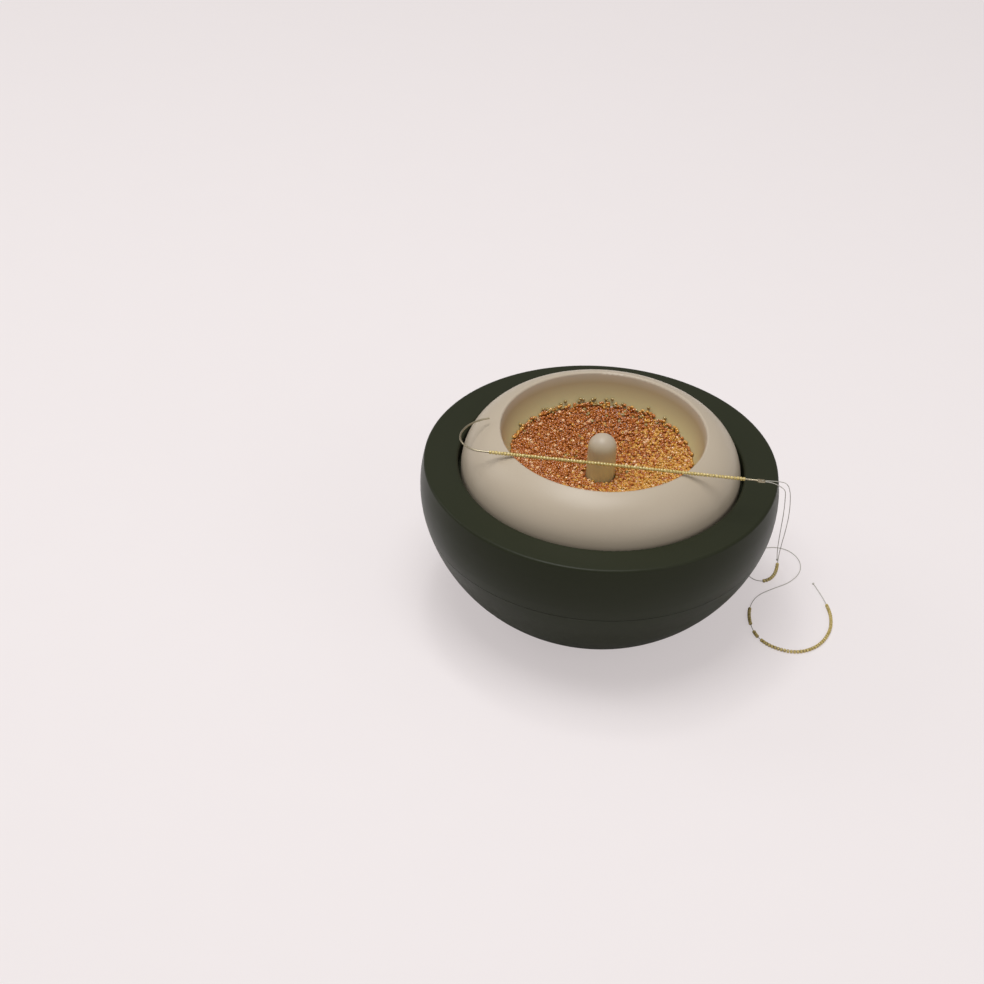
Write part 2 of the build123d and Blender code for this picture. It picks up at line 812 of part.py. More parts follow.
# Clip under the lower bush
with BuildPart() as spindle_clip:
    with BuildSketch(Plane.XY.offset(clip_z)):
        Circle(clip_radius)
        Circle(shaft_radius - groove_depth + running, mode=Mode.SUBTRACT)
        with Locations((clip_radius, 0)):
            Rectangle(2 * clip_radius, shaft_radius, mode=Mode.SUBTRACT)
    extrude(amount=clip_thickness)
spindle_clip.part.label = "spindle_clip"

# Spindle gear with its long hub
with BuildPart() as spindle_gear:
    with BuildSketch(Plane.XY.offset(spindle_gear_z)):
        with BuildLine():
            Polyline(*gear_outline(spindle_teeth, spindle_module, rear_tooth), close=True)
        make_face()
    extrude(amount=spindle_gear_face)
    with BuildSketch(Plane.XY.offset(bush_top_z + seat)):
        Circle(gear_hub_radius)
    extrude(amount=pit_under_z - bush_top_z - 2 * seat)
    with BuildSketch(Plane.XY.offset(bush_top_z)):
        Circle(shaft_radius + running)
    extrude(amount=pit_under_z - bush_top_z, mode=Mode.SUBTRACT)
spindle_gear.part.label = "spindle_gear"

# Drive hub: flange under the bowl, two driving dogs, and the sleeve inside the bowl's post
hub_top_z = boss_z - seat
with BuildPart() as drive_hub:
    with BuildSketch(Plane.XY.offset(hub_flange_z)):
        Circle(hub_flange_radius)
    extrude(amount=hub_top_z - hub_flange_z)
    with BuildSketch(Plane.XY.offset(hub_flange_z)):
        Circle(sleeve_radius)
    extrude(amount=sleeve_top_z - hub_flange_z)
    with BuildSketch(Plane.XY.offset(hub_top_z)):
        with Locations((-dog_place_radius, 0), (dog_place_radius, 0)):
            Rectangle(dog_size, dog_size)
    extrude(amount=dog_height)
    with BuildSketch(Plane.XY.offset(hub_flange_z)):
        Circle(shaft_radius + running)
    extrude(amount=sleeve_top_z - hub_flange_z, mode=Mode.SUBTRACT)
    chamfer(drive_hub.edges().group_by(Axis.Z)[-1].sort_by(SortBy.LENGTH)[-1], length=groove_depth)
drive_hub.part.label = "drive_hub"

# Idler axle under its head, up to the blind hole below the well
with BuildPart() as idler_axle:
    with BuildSketch(Plane(origin=(0, idler_y, plate_z - axle_head_height))):
        Circle(axle_head_radius)
    extrude(amount=axle_head_height)
    with BuildSketch(Plane(origin=(0, idler_y, plate_z))):
        Circle(idler_axle_radius)
    extrude(amount=axle_top_z - plate_z)
idler_axle.part.label = "idler_axle"

# Idler: the big gear and the small gear in one moulding
small_gear_top_z = spindle_gear_top_z + fit
with BuildPart() as idler_gear:
    with BuildSketch(Plane(origin=(0, idler_y, big_gear_z))):
        with BuildLine():
            Polyline(*gear_outline(idler_big_teeth, motor_module, rear_tooth), close=True)
        make_face()
    extrude(amount=big_gear_face)
    half_tooth = half_turn / idler_small_teeth
    with BuildSketch(Plane(origin=(0, idler_y, big_gear_z + big_gear_face))):
        with BuildLine():
            Polyline(*gear_outline(idler_small_teeth, spindle_module, half_tooth - rear_tooth), close=True)
        make_face()
    extrude(amount=small_gear_top_z - big_gear_z - big_gear_face)
    with BuildSketch(Plane(origin=(0, idler_y, plate_top_z + seat))):
        Circle(idler_hub_radius)
    extrude(amount=big_gear_z - plate_top_z - seat)
    with BuildSketch(Plane(origin=(0, idler_y, plate_top_z))):
        Circle(idler_axle_radius + running)
    extrude(amount=small_gear_top_z - plate_top_z, mode=Mode.SUBTRACT)
idler_gear.part.label = "idler_gear"

# Motor can, hung under the gear plate
with BuildPart() as motor_can:
    with BuildSketch(Plane(origin=(0, motor_y, can_z))):
        Circle(motor_radius)
    extrude(amount=motor_can_height)
    with BuildSketch(Plane(origin=(0, motor_y, can_z))):
        Circle(motor_radius - motor_can_wall)
    extrude(amount=motor_can_height - motor_can_wall, mode=Mode.SUBTRACT)
    with BuildSketch(Plane(origin=(0, motor_y, plate_z))):
        Circle(motor_boss_radius)
    extrude(amount=motor_boss_height)
    with BuildSketch(Plane.XY.offset(plate_z - motor_can_wall)):
        with Locations((0, motor_y)):
            Circle(motor_shaft_radius + running)
        with Locations(*motor_screw_places):
            Circle(motor_screw_radius + pilot_clearance)
    extrude(amount=motor_can_wall + motor_boss_height, mode=Mode.SUBTRACT)
motor_can.part.label = "motor_can"

# Magnets inside the can
magnet_outer = motor_radius - motor_can_wall - running
with BuildPart() as motor_magnets:
    with BuildSketch(Plane(origin=(0, motor_y, can_z + motor_can_wall))):
        for middle in (0, half_turn):
            with BuildLine():
                first = middle - magnet_angle / 2
                outer = CenterArc((0, 0), magnet_outer, first, magnet_angle)
                inner = CenterArc((0, 0), magnet_outer - magnet_thickness, first, magnet_angle)
                Line(outer @ 0, inner @ 0)
                Line(outer @ 1, inner @ 1)
            make_face()
    extrude(amount=magnet_height)
motor_magnets.part.label = "motor_magnets"

# End cap of the motor
with BuildPart() as motor_end_cap:
    with BuildSketch(Plane(origin=(0, motor_y, cap_z))):
        Circle(motor_radius)
        Circle(motor_shaft_radius + running, mode=Mode.SUBTRACT)
    extrude(amount=motor_cap_height)
    with BuildSketch(Plane(origin=(0, motor_y, cap_z + motor_cap_height / 2 - fit))):
        Rectangle(2 * motor_radius, motor_tab_width + 2 * fit)
        Circle(motor_radius - motor_can_wall, mode=Mode.SUBTRACT)
    extrude(amount=tab_thickness + 2 * fit, mode=Mode.SUBTRACT)
motor_end_cap.part.label = "motor_end_cap"

# Terminals at both sides of the end cap
with BuildPart() as motor_terminals:
    with BuildSketch(Plane(origin=(0, motor_y, cap_z + motor_cap_height / 2))):
        tab_middle_x = motor_radius - motor_can_wall + fit + motor_tab_length / 2
        with Locations((-tab_middle_x, 0), (tab_middle_x, 0)):
            Rectangle(motor_tab_length, motor_tab_width)
    extrude(amount=tab_thickness)
motor_terminals.part.label = "motor_terminals"

# Screws that hang the motor from the plate
with BuildPart() as motor_screws:
    with BuildSketch(Plane.XY.offset(plate_top_z)):
        with Locations(*motor_screw_places):
            Circle(motor_head_radius)
    extrude(amount=motor_head_height)
    with BuildSketch(Plane.XY.offset(plate_top_z)):
        with Locations(*motor_screw_places):
            Circle(motor_screw_radius)
    extrude(amount=-plate_thickness - motor_screw_length)
motor_screws.part.label = "motor_screws"

# Rotor: shaft, slotted armature and pinion
with BuildPart() as motor_shaft:
    with BuildSketch(Plane(origin=(0, motor_y, cap_z + seat))):
        Circle(motor_shaft_radius)
    extrude(amount=big_gear_z + big_gear_face + fit + seat - cap_z)
motor_shaft.part.label = "motor_shaft"

armature_z = can_z + (motor_can_height - motor_can_wall - armature_height) / 2
with BuildPart() as armature:
    with BuildSketch(Plane(origin=(0, motor_y, armature_z))):
        Circle(armature_radius)
        Circle(motor_shaft_radius + running, mode=Mode.SUBTRACT)
        with PolarLocations(armature_radius, armature_slots):
            Rectangle(armature_radius, armature_slot_width, mode=Mode.SUBTRACT)
    extrude(amount=armature_height)
armature.part.label = "armature"

pinion_z = plate_top_z + seat
with BuildPart() as motor_pinion:
    with BuildSketch(Plane(origin=(0, motor_y, pinion_z))):
        with BuildLine():
            half_tooth = half_turn / pinion_teeth
            Polyline(*gear_outline(pinion_teeth, motor_module, half_tooth - rear_tooth), close=True)
        make_face()
        Circle(motor_shaft_radius + running, mode=Mode.SUBTRACT)
    extrude(amount=big_gear_z + big_gear_face + fit - pinion_z)
motor_pinion.part.label = "motor_pinion"

# Bowl in one section: dish, hollow post, hub boss, and the skirt that hides the recess
skirt_inner_radius = skirt_arc_radius - bowl_wall
dish_outer_radius = dish_radius + bowl_wall
dish_under_z = dish_floor_z - bowl_wall
skirt_meets_dish = circles_meet(skirt_centre, skirt_inner_radius, dish_centre, dish_outer_radius)
lip_outer_r = opening_radius + lip_round
lip_outer = (lip_outer_r, above(skirt_centre, skirt_arc_radius, lip_outer_r))
lip_inner = (opening_radius, dish_top_z)
lip_middle = (
    opening_radius + lip_round * (1 - math.sqrt(0.5)),
    dish_top_z + (lip_outer[1] - dish_top_z) * math.sqrt(0.5),
)
dome_z = post_top_z - post_radius
socket_radius = sleeve_radius + socket_clearance
socket_top_z = sleeve_top_z + seat
diagonal_share = math.sqrt(0.5)
with BuildPart() as bowl:
    with BuildSketch(Plane.XZ):
        with BuildLine():
            profile_arc(dish_centre, dish_radius, dish_top_z, dish_floor_z)
            Polyline((dish_floor_radius, dish_floor_z), (post_radius, dish_floor_z), (post_radius, dome_z))
            ThreePointArc(
                (post_radius, dome_z),
                (post_radius * diagonal_share, dome_z + post_radius * diagonal_share),
                (0, post_top_z),
            )
            Polyline(
                (0, post_top_z),
                (0, socket_top_z),
                (socket_radius, socket_top_z),
                (socket_radius, boss_z),
                (boss_radius, boss_z),
                (boss_radius, dish_under_z),
                (across(dish_centre, dish_outer_radius, dish_under_z), dish_under_z),
            )
            profile_arc(dish_centre, dish_outer_radius, dish_under_z, skirt_meets_dish[1])
            profile_arc(skirt_centre, skirt_inner_radius, skirt_meets_dish[1], skirt_z)
            Polyline(
                (skirt_radius - bowl_wall, skirt_z),
                (skirt_radius - bowl_wall, skirt_edge_z),
                (skirt_radius, skirt_edge_z),
                (skirt_radius, skirt_z),
            )
            profile_arc(skirt_centre, skirt_arc_radius, skirt_z, lip_outer[1])
            ThreePointArc(lip_outer, lip_middle, lip_inner)
        make_face()
    revolve(axis=Axis.Z)
    with BuildSketch(Plane.XY.offset(boss_z)):
        with Locations((-dog_place_radius, 0), (dog_place_radius, 0)):
            Rectangle(dog_size + 2 * dog_clearance, dog_size + 2 * dog_clearance)
    extrude(amount=dog_height, mode=Mode.SUBTRACT)
bowl.part.label = "bowl"

# Fill of beads, lowest at the post and highest at the wall
fill_radius = dish_radius - bead_clearance
fill_inner = post_radius + bead_clearance
fill_floor_z = dish_floor_z + bead_clearance
fill_edge = (across(dish_centre, fill_radius, bead_edge_z), bead_edge_z)
fill_middle = (
    (fill_inner + fill_edge[0]) / 2,
    bead_low_z + (bead_edge_z - bead_low_z) * bead_sag_share,
)
with BuildPart() as bead_fill:
    with BuildSketch(Plane.XZ):
        with BuildLine():
            ThreePointArc((fill_inner, bead_low_z), fill_middle, fill_edge)
            profile_arc(dish_centre, fill_radius, bead_edge_z, fill_floor_z)
            Polyline(
                (across(dish_centre, fill_radius, fill_floor_z), fill_floor_z),
                (fill_inner, fill_floor_z),
                (fill_inner, bead_low_z),
            )
        make_face()
    revolve(axis=Axis.Z)
bead_fill.part.label = "bead_fill"

# Switch body behind the pocket, with its bezel
with BuildPart() as switch_body:
    with BuildSketch(rear_plane(pocket_y, switch_z)):
        Rectangle(switch_width, switch_height)
    extrude(amount=-switch_depth)
    with BuildSketch(rear_plane(pocket_y, switch_z)):
        RectangleRounded(bezel_width, bezel_height, edge_round)
    extrude(amount=bezel_thickness)
    with BuildSketch(rear_plane(pocket_y + bezel_thickness, switch_z)):
        Rectangle(window_width, window_height)
    extrude(amount=switch_floor - switch_depth - bezel_thickness, mode=Mode.SUBTRACT)
    trunnion_reach = rocker_height / 2 + trunnion_length + running
    with BuildSketch(Plane.XY.offset(switch_z - trunnion_reach)):
        with Locations((0, rocker_axis_y)):
            Circle(trunnion_radius + running)
    extrude(amount=2 * trunnion_reach, mode=Mode.SUBTRACT)
switch_body.part.label = "switch_body"

# Rocker with its two trunnions: it tips left or right for the two directions of turning
with BuildPart() as switch_rocker:
    with BuildSketch(Plane.XY.offset(switch_z - rocker_height / 2)):
        with BuildLine():
            Polyline(
                (-rocker_width / 2, rocker_back_y),
                (rocker_width / 2, rocker_back_y),
                (rocker_width / 2 - rocker_taper, rocker_end_y),
                (0, rocker_end_y - rocker_dip),
                (rocker_taper - rocker_width / 2, rocker_end_y),
                close=True,
            )
        make_face()
    extrude(amount=rocker_height)
    with BuildSketch(Plane.XY.offset(switch_z - rocker_height / 2 - trunnion_length)):
        with Locations((0, rocker_axis_y)):
            Circle(trunnion_radius)
    extrude(amount=rocker_height + 2 * trunnion_length)
switch_rocker.part.label = "switch_rocker"

# Six solder terminals at the back of the switch
switch_back_y = pocket_y - switch_depth
with BuildPart() as switch_terminals:
    with BuildSketch(rear_plane(switch_back_y, switch_z)):
        with GridLocations(terminal_pitch, terminal_pitch, 3, 2):
            Rectangle(terminal_width, tab_thickness)
    extrude(amount=-terminal_length)
switch_terminals.part.label = "switch_terminals"

# Wires from the battery contacts and the motor to the switch
terminal_y = switch_back_y - terminal_length
contact_end_x = -(tray_length / 2 - fit / 2 + contact_tab_length)
contact_wire_z = contact_tab_z + tab_thickness / 2
motor_end_x = motor_radius - motor_can_wall + fit + motor_tab_length
motor_wire_z = cap_z + motor_cap_height / 2 + tab_thickness / 2
top_row_z = switch_z + terminal_pitch / 2
low_row_z = switch_z - terminal_pitch / 2
plus_route = [
    (contact_end_x, -half_pitch_y, contact_wire_z),
    (-40.0, -8.0, 15.4),
    (-50.0, -1.0, 19.5),
    (-56.0, 16.0, 30.0),
    (-49.0, 36.0, 42.0),
    (-33.0, terminal_y - 20.7, 54.0),
    (-14.0, terminal_y - 11.7, 65.5),
    (-terminal_pitch, terminal_y - 6.7, top_row_z),
    (-terminal_pitch, terminal_y, top_row_z),
]
minus_route = [
    (contact_end_x, half_pitch_y, contact_wire_z),
    (-39.5, 8.0, 15.6),
    (-47.5, 13.0, 19.0),
    (-51.5, 27.0, 27.5),
    (-43.5, 43.0, 37.5),
    (-29.0, terminal_y - 17.7, 48.0),
    (-13.0, terminal_y - 10.2, 59.0),
    (-terminal_pitch, terminal_y - 6.2, low_row_z),
    (-terminal_pitch, terminal_y, low_row_z),
]
motor_left_route = [
    (-motor_end_x, motor_y, motor_wire_z),
    (-22.0, motor_y, motor_wire_z),
    (-26.0, 46.0, 13.0),
    (-24.5, 56.0, 23.0),
    (-17.5, terminal_y - 11.2, 35.0),
    (-9.5, terminal_y - 10.2, 46.5),
    (-2.5, terminal_y - 10.2, 55.0),
    (0.0, terminal_y - 6.5, low_row_z),
    (0.0, terminal_y, low_row_z),
]
motor_right_route = [
    (motor_end_x, motor_y, motor_wire_z),
    (22.0, motor_y, motor_wire_z),
    (26.0, 46.5, 13.5),
    (24.5, 56.5, 24.0),
    (18.5, terminal_y - 11.2, 36.0),
    (12.5, terminal_y - 10.2, 46.0),
    (7.0, terminal_y - 10.2, 55.0),
    (terminal_pitch, terminal_y - 6.5, low_row_z),
    (terminal_pitch, terminal_y, low_row_z),
]
wire_tubes = {}
for wire_name, wire_route in (
    ("battery_wire_plus", plus_route),
    ("battery_wire_minus", minus_route),
    ("motor_wire_left", motor_left_route),
    ("motor_wire_right", motor_right_route),
):
    wire_part, wire_line = tube(wire_name, wire_route, wire_radius)
    wire_part.label = wire_name
    wire_tubes[wire_name] = wire_part

# Needle: straight wire with a hook at the left and a flat eye at the right
needle_z = lip_z + strung_radius + needle_clearance
end_point = Vector(*needle_end, needle_z)
bend_point = Vector(*needle_bend, needle_z)
needle_way = (bend_point - end_point).normalized()
wire_start = end_point + needle_way * (eye_length - (eye_length - eye_hole_length) / 2 + running)
with BuildPart() as needle:
    with BuildLine() as needle_line:
        straight = Line(wire_start, bend_point)
        bend = TangentArc(bend_point, Vector(*needle_far, needle_z), tangent=straight % 1)
        TangentArc(bend @ 1, Vector(*needle_tip, needle_z), tangent=bend % 1)
    needle_path = needle_line.wire()
    with BuildSketch(Plane(origin=needle_path @ 0, z_dir=needle_path % 0)):
        Circle(needle_radius)
    sweep(path=needle_path)
    eye_origin = end_point + needle_way * (eye_length / 2) - Vector(0, 0, eye_thickness / 2)
    with BuildSketch(Plane(origin=eye_origin, x_dir=needle_way, z_dir=(0, 0, 1))):
        SlotOverall(eye_length, eye_width)
        SlotOverall(eye_hole_length, eye_hole_width, mode=Mode.SUBTRACT)
    extrude(amount=eye_thickness)
needle.part.label = "needle"

# One strung bead, copied along the needle and the thread
bead_hole = needle_radius + strung_hole_clearance
with BuildPart() as strung_bead:
    with BuildSketch(Plane.XZ):
        with Locations(((strung_radius + bead_hole) / 2, 0)):
            bead_section = Rectangle(strung_radius - bead_hole, strung_length)
        fillet(bead_section.vertices().group_by(Axis.X)[-1], radius=strung_round)
    revolve(axis=Axis.Z)

with BuildPart() as needle_beads:
    needle_places = bead_places(straight, bare_by_eye, straight.length - bare_by_bend, strung_pitch)
    with Locations(*needle_places):
        add(strung_bead.part)
needle_beads.part.label = "needle_beads"

# Thread: out of the eye, over the rim and down to the table, and round to the long strand
eye_x, eye_y = end_point.X, end_point.Y
lay_z = strung_radius + bead_clearance / 4
floor_thread_z = 2 * thread_radius
thread_route = [
    (eye_x - 1.4, eye_y + strand_offset, needle_z),
    (eye_x + 3.2, eye_y + 0.6, needle_z - 0.1),
    (eye_x + 7.4, eye_y + 4.0, needle_z - 2.6),
    (91.8, -25.0, 96.5),
    (95.6, -11.0, 83.5),
    (98.4, 4.0, 65.5),
    (100.2, 17.5, 46.0),
    (100.8, 29.5, 27.5),
    (100.5, 37.0, 13.0),
    (99.8, 38.4, 4.0),
    (99.2, 34.0, lay_z),
    (98.0, 26.4, lay_z),
    (95.2, 20.6, lay_z),
    (90.8, 17.8, lay_z),
    (85.8, 19.4, 0.6),
    (81.8, 25.4, floor_thread_z),
    (81.6, 35.0, floor_thread_z),
    (86.4, 44.0, floor_thread_z),
    (95.0, 49.8, floor_thread_z),
    (104.8, 48.6, floor_thread_z),
    (111.4, 40.4, floor_thread_z),
    (111.8, 29.4, floor_thread_z),
    (105.6, 19.2, floor_thread_z),
    (95.8, 12.8, floor_thread_z),
    (87.0, 5.6, 0.6),
    (82.8, -6.0, lay_z),
    (83.0, -19.0, lay_z),
    (86.8, -30.5, lay_z),
    (95.4, -38.0, lay_z),
    (107.4, -40.6, lay_z),
    (118.4, -34.0, lay_z),
    (124.8, -21.4, lay_z),
    (126.0, -8.6, lay_z),
    (123.8, 1.8, lay_z),
    (121.0, 11.4, 0.6),
    (117.8, 19.4, floor_thread_z),
]
thread_part, thread_line = tube("thread", thread_route, thread_radius)
thread_part.label = "thread"

# Second strand of the doubled thread, close beside the first, down to the first beads
strand_route = [
    (eye_x - 1.4, eye_y - strand_offset, needle_z),
    (eye_x + 3.0, eye_y - 0.5, needle_z - 0.1),
    (eye_x + 6.6, eye_y + 1.6, needle_z - 3.0),
    (89.8, -28.6, 96.0),
    (93.0, -17.0, 86.0),
    (95.0, -2.0, 70.0),
    (96.4, 9.5, 52.0),
    (97.0, 19.5, 34.0),
    (97.6, 28.5, 18.0),
    (98.4, 34.2, 6.6),
    (99.0, 36.2, 2.2),
]
strand_part, strand_line = tube("thread_strand", strand_route, thread_radius)
strand_part.label = "thread_strand"

# Beads on the thread: a short curved group, a few loose ones, and the long strand
group_start = station(thread_line, thread_route[10])
group_end = station(thread_line, thread_route[13])
long_start = station(thread_line, thread_route[25])
long_end = station(thread_line, thread_route[33])
break_start = station(thread_line, thread_route[26])
break_end = station(thread_line, thread_route[27])
with BuildPart() as thread_beads:
    with Locations(*bead_places(thread_line, group_start, group_end, thread_pitch)):
        add(strung_bead.part)
    with Locations(*bead_places(thread_line, long_start, break_start, thread_pitch)):
        add(strung_bead.part)
    with Locations(*bead_places(thread_line, (break_start + break_end) / 2, break_end, thread_pitch)):
        add(strung_bead.part)
    with Locations(*bead_places(thread_line, break_end + thread_pitch, long_end, thread_pitch)):
        add(strung_bead.part)
thread_beads.part.label = "thread_beads"

# Knots: where the strands meet, and at the free end
with BuildPart() as thread_knots:
    with Locations(strand_line @ 1, thread_line @ 1):
        Sphere(knot_radius)
thread_knots.part.label = "thread_knots"

os.makedirs("parts", exist_ok=True)
built = [
    upper_housing,
    lower_housing,
    rubber_feet,
    housing_screws,
    battery_door,
    door_screws,
    gear_plate,
    plate_screws,
    lower_bush,
    upper_bush,
    spindle_shaft,
    spindle_clip,
    spindle_gear,
    drive_hub,
    idler_axle,
    idler_gear,
    motor_can,
    motor_magnets,
    motor_end_cap,
    motor_terminals,
    motor_screws,
    motor_shaft,
    armature,
    motor_pinion,
    bowl,
    bead_fill,
    switch_body,
    switch_rocker,
    switch_terminals,
    needle,
    needle_beads,
    thread_beads,
    thread_knots,
]
pieces = [builder.part for builder in built]
pieces += [*cells, battery_bridge, battery_plus, battery_minus]
pieces += [*wire_tubes.values(), thread_part, strand_part]
for piece in pieces:
    export_step(piece, f"parts/{piece.label}.step")
print(f"{len(pieces)} nodes written")
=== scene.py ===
# %% [markdown]
# # A bead spinner, dressed in Blender
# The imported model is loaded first: a dark base that holds a geared motor, a cream bowl that
# lifts off its drive hub, and a hooked needle with a doubled thread. Its pieces already have
# their sizes and places, in metres. This script adds what the solids don't have: the loose
# beads, the flowing thread, the finishes, the light and the camera.

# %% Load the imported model
import math
import random

import bpy
import numpy as np
from mathutils import Matrix, Vector


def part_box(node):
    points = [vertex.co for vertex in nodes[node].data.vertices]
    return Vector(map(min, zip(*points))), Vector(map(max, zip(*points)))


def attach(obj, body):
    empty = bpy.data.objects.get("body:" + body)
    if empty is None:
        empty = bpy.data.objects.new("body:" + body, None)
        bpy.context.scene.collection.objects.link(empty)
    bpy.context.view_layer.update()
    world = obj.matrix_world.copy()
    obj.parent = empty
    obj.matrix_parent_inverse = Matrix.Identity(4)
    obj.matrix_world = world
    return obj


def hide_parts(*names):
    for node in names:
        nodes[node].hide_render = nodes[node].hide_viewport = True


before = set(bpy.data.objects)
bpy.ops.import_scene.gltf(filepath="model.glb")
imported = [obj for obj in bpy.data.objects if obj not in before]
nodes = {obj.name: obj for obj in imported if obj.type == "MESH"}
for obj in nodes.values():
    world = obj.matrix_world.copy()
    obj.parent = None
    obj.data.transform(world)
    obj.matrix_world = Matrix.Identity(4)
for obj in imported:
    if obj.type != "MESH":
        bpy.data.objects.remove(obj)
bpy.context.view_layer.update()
scene = bpy.context.scene
mm = 0.001


def add(name, data):
    """New object in the scene."""
    piece = bpy.data.objects.new(name, data)
    scene.collection.objects.link(piece)
    return piece


# %% [markdown]
# ## Camera
# The photograph looks down on the spinner from the front, with a long lens and a slight tilt
# of the frame. A camera is only a place, an aim and a lens, so its matrix is built from three
# directions: right, up and back. The aim lies left of the spinner, because the spinner stands
# right of the middle of the photograph.

# %% Camera
azimuth = math.radians(1.02)
elevation = math.radians(36.04)
roll = math.radians(2.99)
distance = 1.452
aim_right = -0.0546
aim_up = 0.0621
lens = 103.62

forward = Vector(
    (
        -math.sin(azimuth) * math.cos(elevation),
        math.cos(azimuth) * math.cos(elevation),
        -math.sin(elevation),
    )
)
level = forward.cross(Vector((0, 0, 1))).normalized()
upright = level.cross(forward)
camera_right = math.cos(roll) * level + math.sin(roll) * upright
camera_up = math.cos(roll) * upright - math.sin(roll) * level
place = aim_right * level + Vector((0, 0, aim_up)) - distance * forward

camera_data = bpy.data.cameras.new("photo_camera")
camera_data.lens = lens
camera_data.clip_end = 20
camera = add("photo_camera", camera_data)
turn = Matrix((camera_right, camera_up, -forward)).transposed()
camera.matrix_world = Matrix.Translation(place) @ turn.to_4x4()
scene.camera = camera
print("camera at", [round(value, 3) for value in place])

# %% [markdown]
# ## Thread
# A doubled thread leaves the eye of the needle, falls past the base to the table, and goes on
# as one strand through two strings of beads. A thread has no corners, so each strand is a
# NURBS curve: its control points are the route that the solids follow, and the curve flows
# smoothly inside them. The radius of its points gives it its thickness, and the bevel of one
# leaves that as it is.

# %% Thread helper
thread_radius = 0.2 * mm


def strand(name, route):
    """Smooth round strand along a route given in millimetres; its points carry the thickness."""
    data = bpy.data.curves.new(name, "CURVE")
    data.dimensions = "3D"
    spline = data.splines.new("NURBS")
    spline.points.add(len(route) - 1)
    for point, (x, y, z) in zip(spline.points, route):
        point.co = (x * mm, y * mm, z * mm, 1)
        point.radius = thread_radius
    spline.order_u = 3
    spline.use_endpoint_u = True
    spline.resolution_u = 10
    data.bevel_depth = 1.0
    data.bevel_resolution = 3
    data.use_fill_caps = True
    return add(name, data)


# %% Routes of the two strands
eye_x, eye_y, needle_z = 80.3, -37.8, 105.85
beaded_z = 1.0  # where beads carry the strand
sloping_z = 0.6  # between beads and table
floor_z = 0.4  # where it lies bare on the table
long_route = [
    (eye_x - 1.4, eye_y + 0.25, needle_z),
    (eye_x + 3.2, eye_y + 0.6, needle_z - 0.1),
    (eye_x + 7.4, eye_y + 4.0, needle_z - 2.6),
    (91.8, -25.0, 96.5),
    (95.6, -11.0, 83.5),
    (98.4, 4.0, 65.5),
    (100.2, 17.5, 46.0),
    (100.8, 29.5, 27.5),
    (100.5, 37.0, 13.0),
    (99.8, 38.4, 4.0),
    (99.2, 34.0, beaded_z),
    (98.0, 26.4, beaded_z),
    (95.2, 20.6, beaded_z),
    (90.8, 17.8, beaded_z),
    (85.8, 19.4, sloping_z),
    (81.8, 25.4, floor_z),
    (81.6, 35.0, floor_z),
    (86.4, 44.0, floor_z),
    (95.0, 49.8, floor_z),
    (104.8, 48.6, floor_z),
    (111.4, 40.4, floor_z),
    (111.8, 29.4, floor_z),
    (105.6, 19.2, floor_z),
    (95.8, 12.8, floor_z),
    (87.0, 5.6, sloping_z),
    (82.8, -6.0, beaded_z),
    (83.0, -19.0, beaded_z),
    (86.8, -30.5, beaded_z),
    (95.4, -38.0, beaded_z),
    (107.4, -40.6, beaded_z),
    (118.4, -34.0, beaded_z),
    (124.8, -21.4, beaded_z),
    (126.0, -8.6, beaded_z),
    (123.8, 1.8, beaded_z),
    (121.0, 11.4, sloping_z),
    (117.8, 19.4, floor_z),
]
short_route = [
    (eye_x - 1.4, eye_y - 0.25, needle_z),
    (eye_x + 3.0, eye_y - 0.5, needle_z - 0.1),
    (eye_x + 6.6, eye_y + 1.6, needle_z - 3.0),
    (89.8, -28.6, 96.0),
    (93.0, -17.0, 86.0),
    (95.0, -2.0, 70.0),
    (96.4, 9.5, 52.0),
    (97.0, 19.5, 34.0),
    (97.6, 28.5, 18.0),
    (98.4, 34.2, 6.6),
    (99.0, 36.2, 2.2),
]
long_strand = strand("long_strand", long_route)
short_strand = strand("short_strand", short_route)

# %% [markdown]
# ## One seed bead
# A seed bead is a short piece of glass tube whose rims have melted round. It is made by
# turning a rounded section about the hole. A few points are enough, because each bead is a
# few pixels wide; what the eye reads is the ring shape, the hole and the gloss.

# %% Bead template
bead_radius = 0.95 * mm
bead_length = 1.4 * mm
bead_hole = 0.38 * mm


def bead_template(around, section_shares):
    """Corners and faces of a ring about Z; its section is in shares of width and length."""
    corners, faces = [], []
    width = bead_radius - bead_hole
    count = len(section_shares)
    for step in range(around):
        angle = math.tau * step / around
        for out_share, up_share in section_shares:
            r = bead_hole + width * out_share
            corners.append((r * math.cos(angle), r * math.sin(angle), bead_length * up_share))
    for step in range(around):
        following = (step + 1) % around
        here, there = step * count, following * count
        for corner in range(count):
            beside = (corner + 1) % count
            faces.append((here + corner, there + corner, there + beside, here + beside))
    return np.array(corners), np.array(faces)


plain_section = [(0, -0.3), (0.45, -0.5), (1, -0.22), (1, 0.22), (0.45, 0.5), (0, 0.3)]
round_section = [
    (0, -0.32),
    (0.25, -0.47),
    (0.6, -0.5),
    (0.9, -0.36),
    (1, -0.12),
    (1, 0.12),
    (0.9, 0.36),
    (0.6, 0.5),
    (0.25, 0.47),
    (0, 0.32),
]
loose_bead = bead_template(around=8, section_shares=plain_section)
strung_bead = bead_template(around=14, section_shares=round_section)


def beads_piece(name, template, places):
    """One mesh of many beads, each at its own 4 by 4 matrix."""
    corners, faces = template
    ends = np.array([np.array(place) for place in places])
    moved = np.einsum("nij,vj->nvi", ends[:, :3, :3], corners) + ends[:, None, :3, 3]
    shifts = len(corners) * np.arange(len(places))
    numbered = faces[None, :, :] + shifts[:, None, None]
    mesh = bpy.data.meshes.new(name)
    mesh.from_pydata(moved.reshape(-1, 3).tolist(), [], numbered.reshape(-1, 4).tolist())
    mesh.shade_smooth()
    piece = add(name, mesh)
    print(name, len(places), "beads,", len(mesh.polygons), "faces")
    return piece


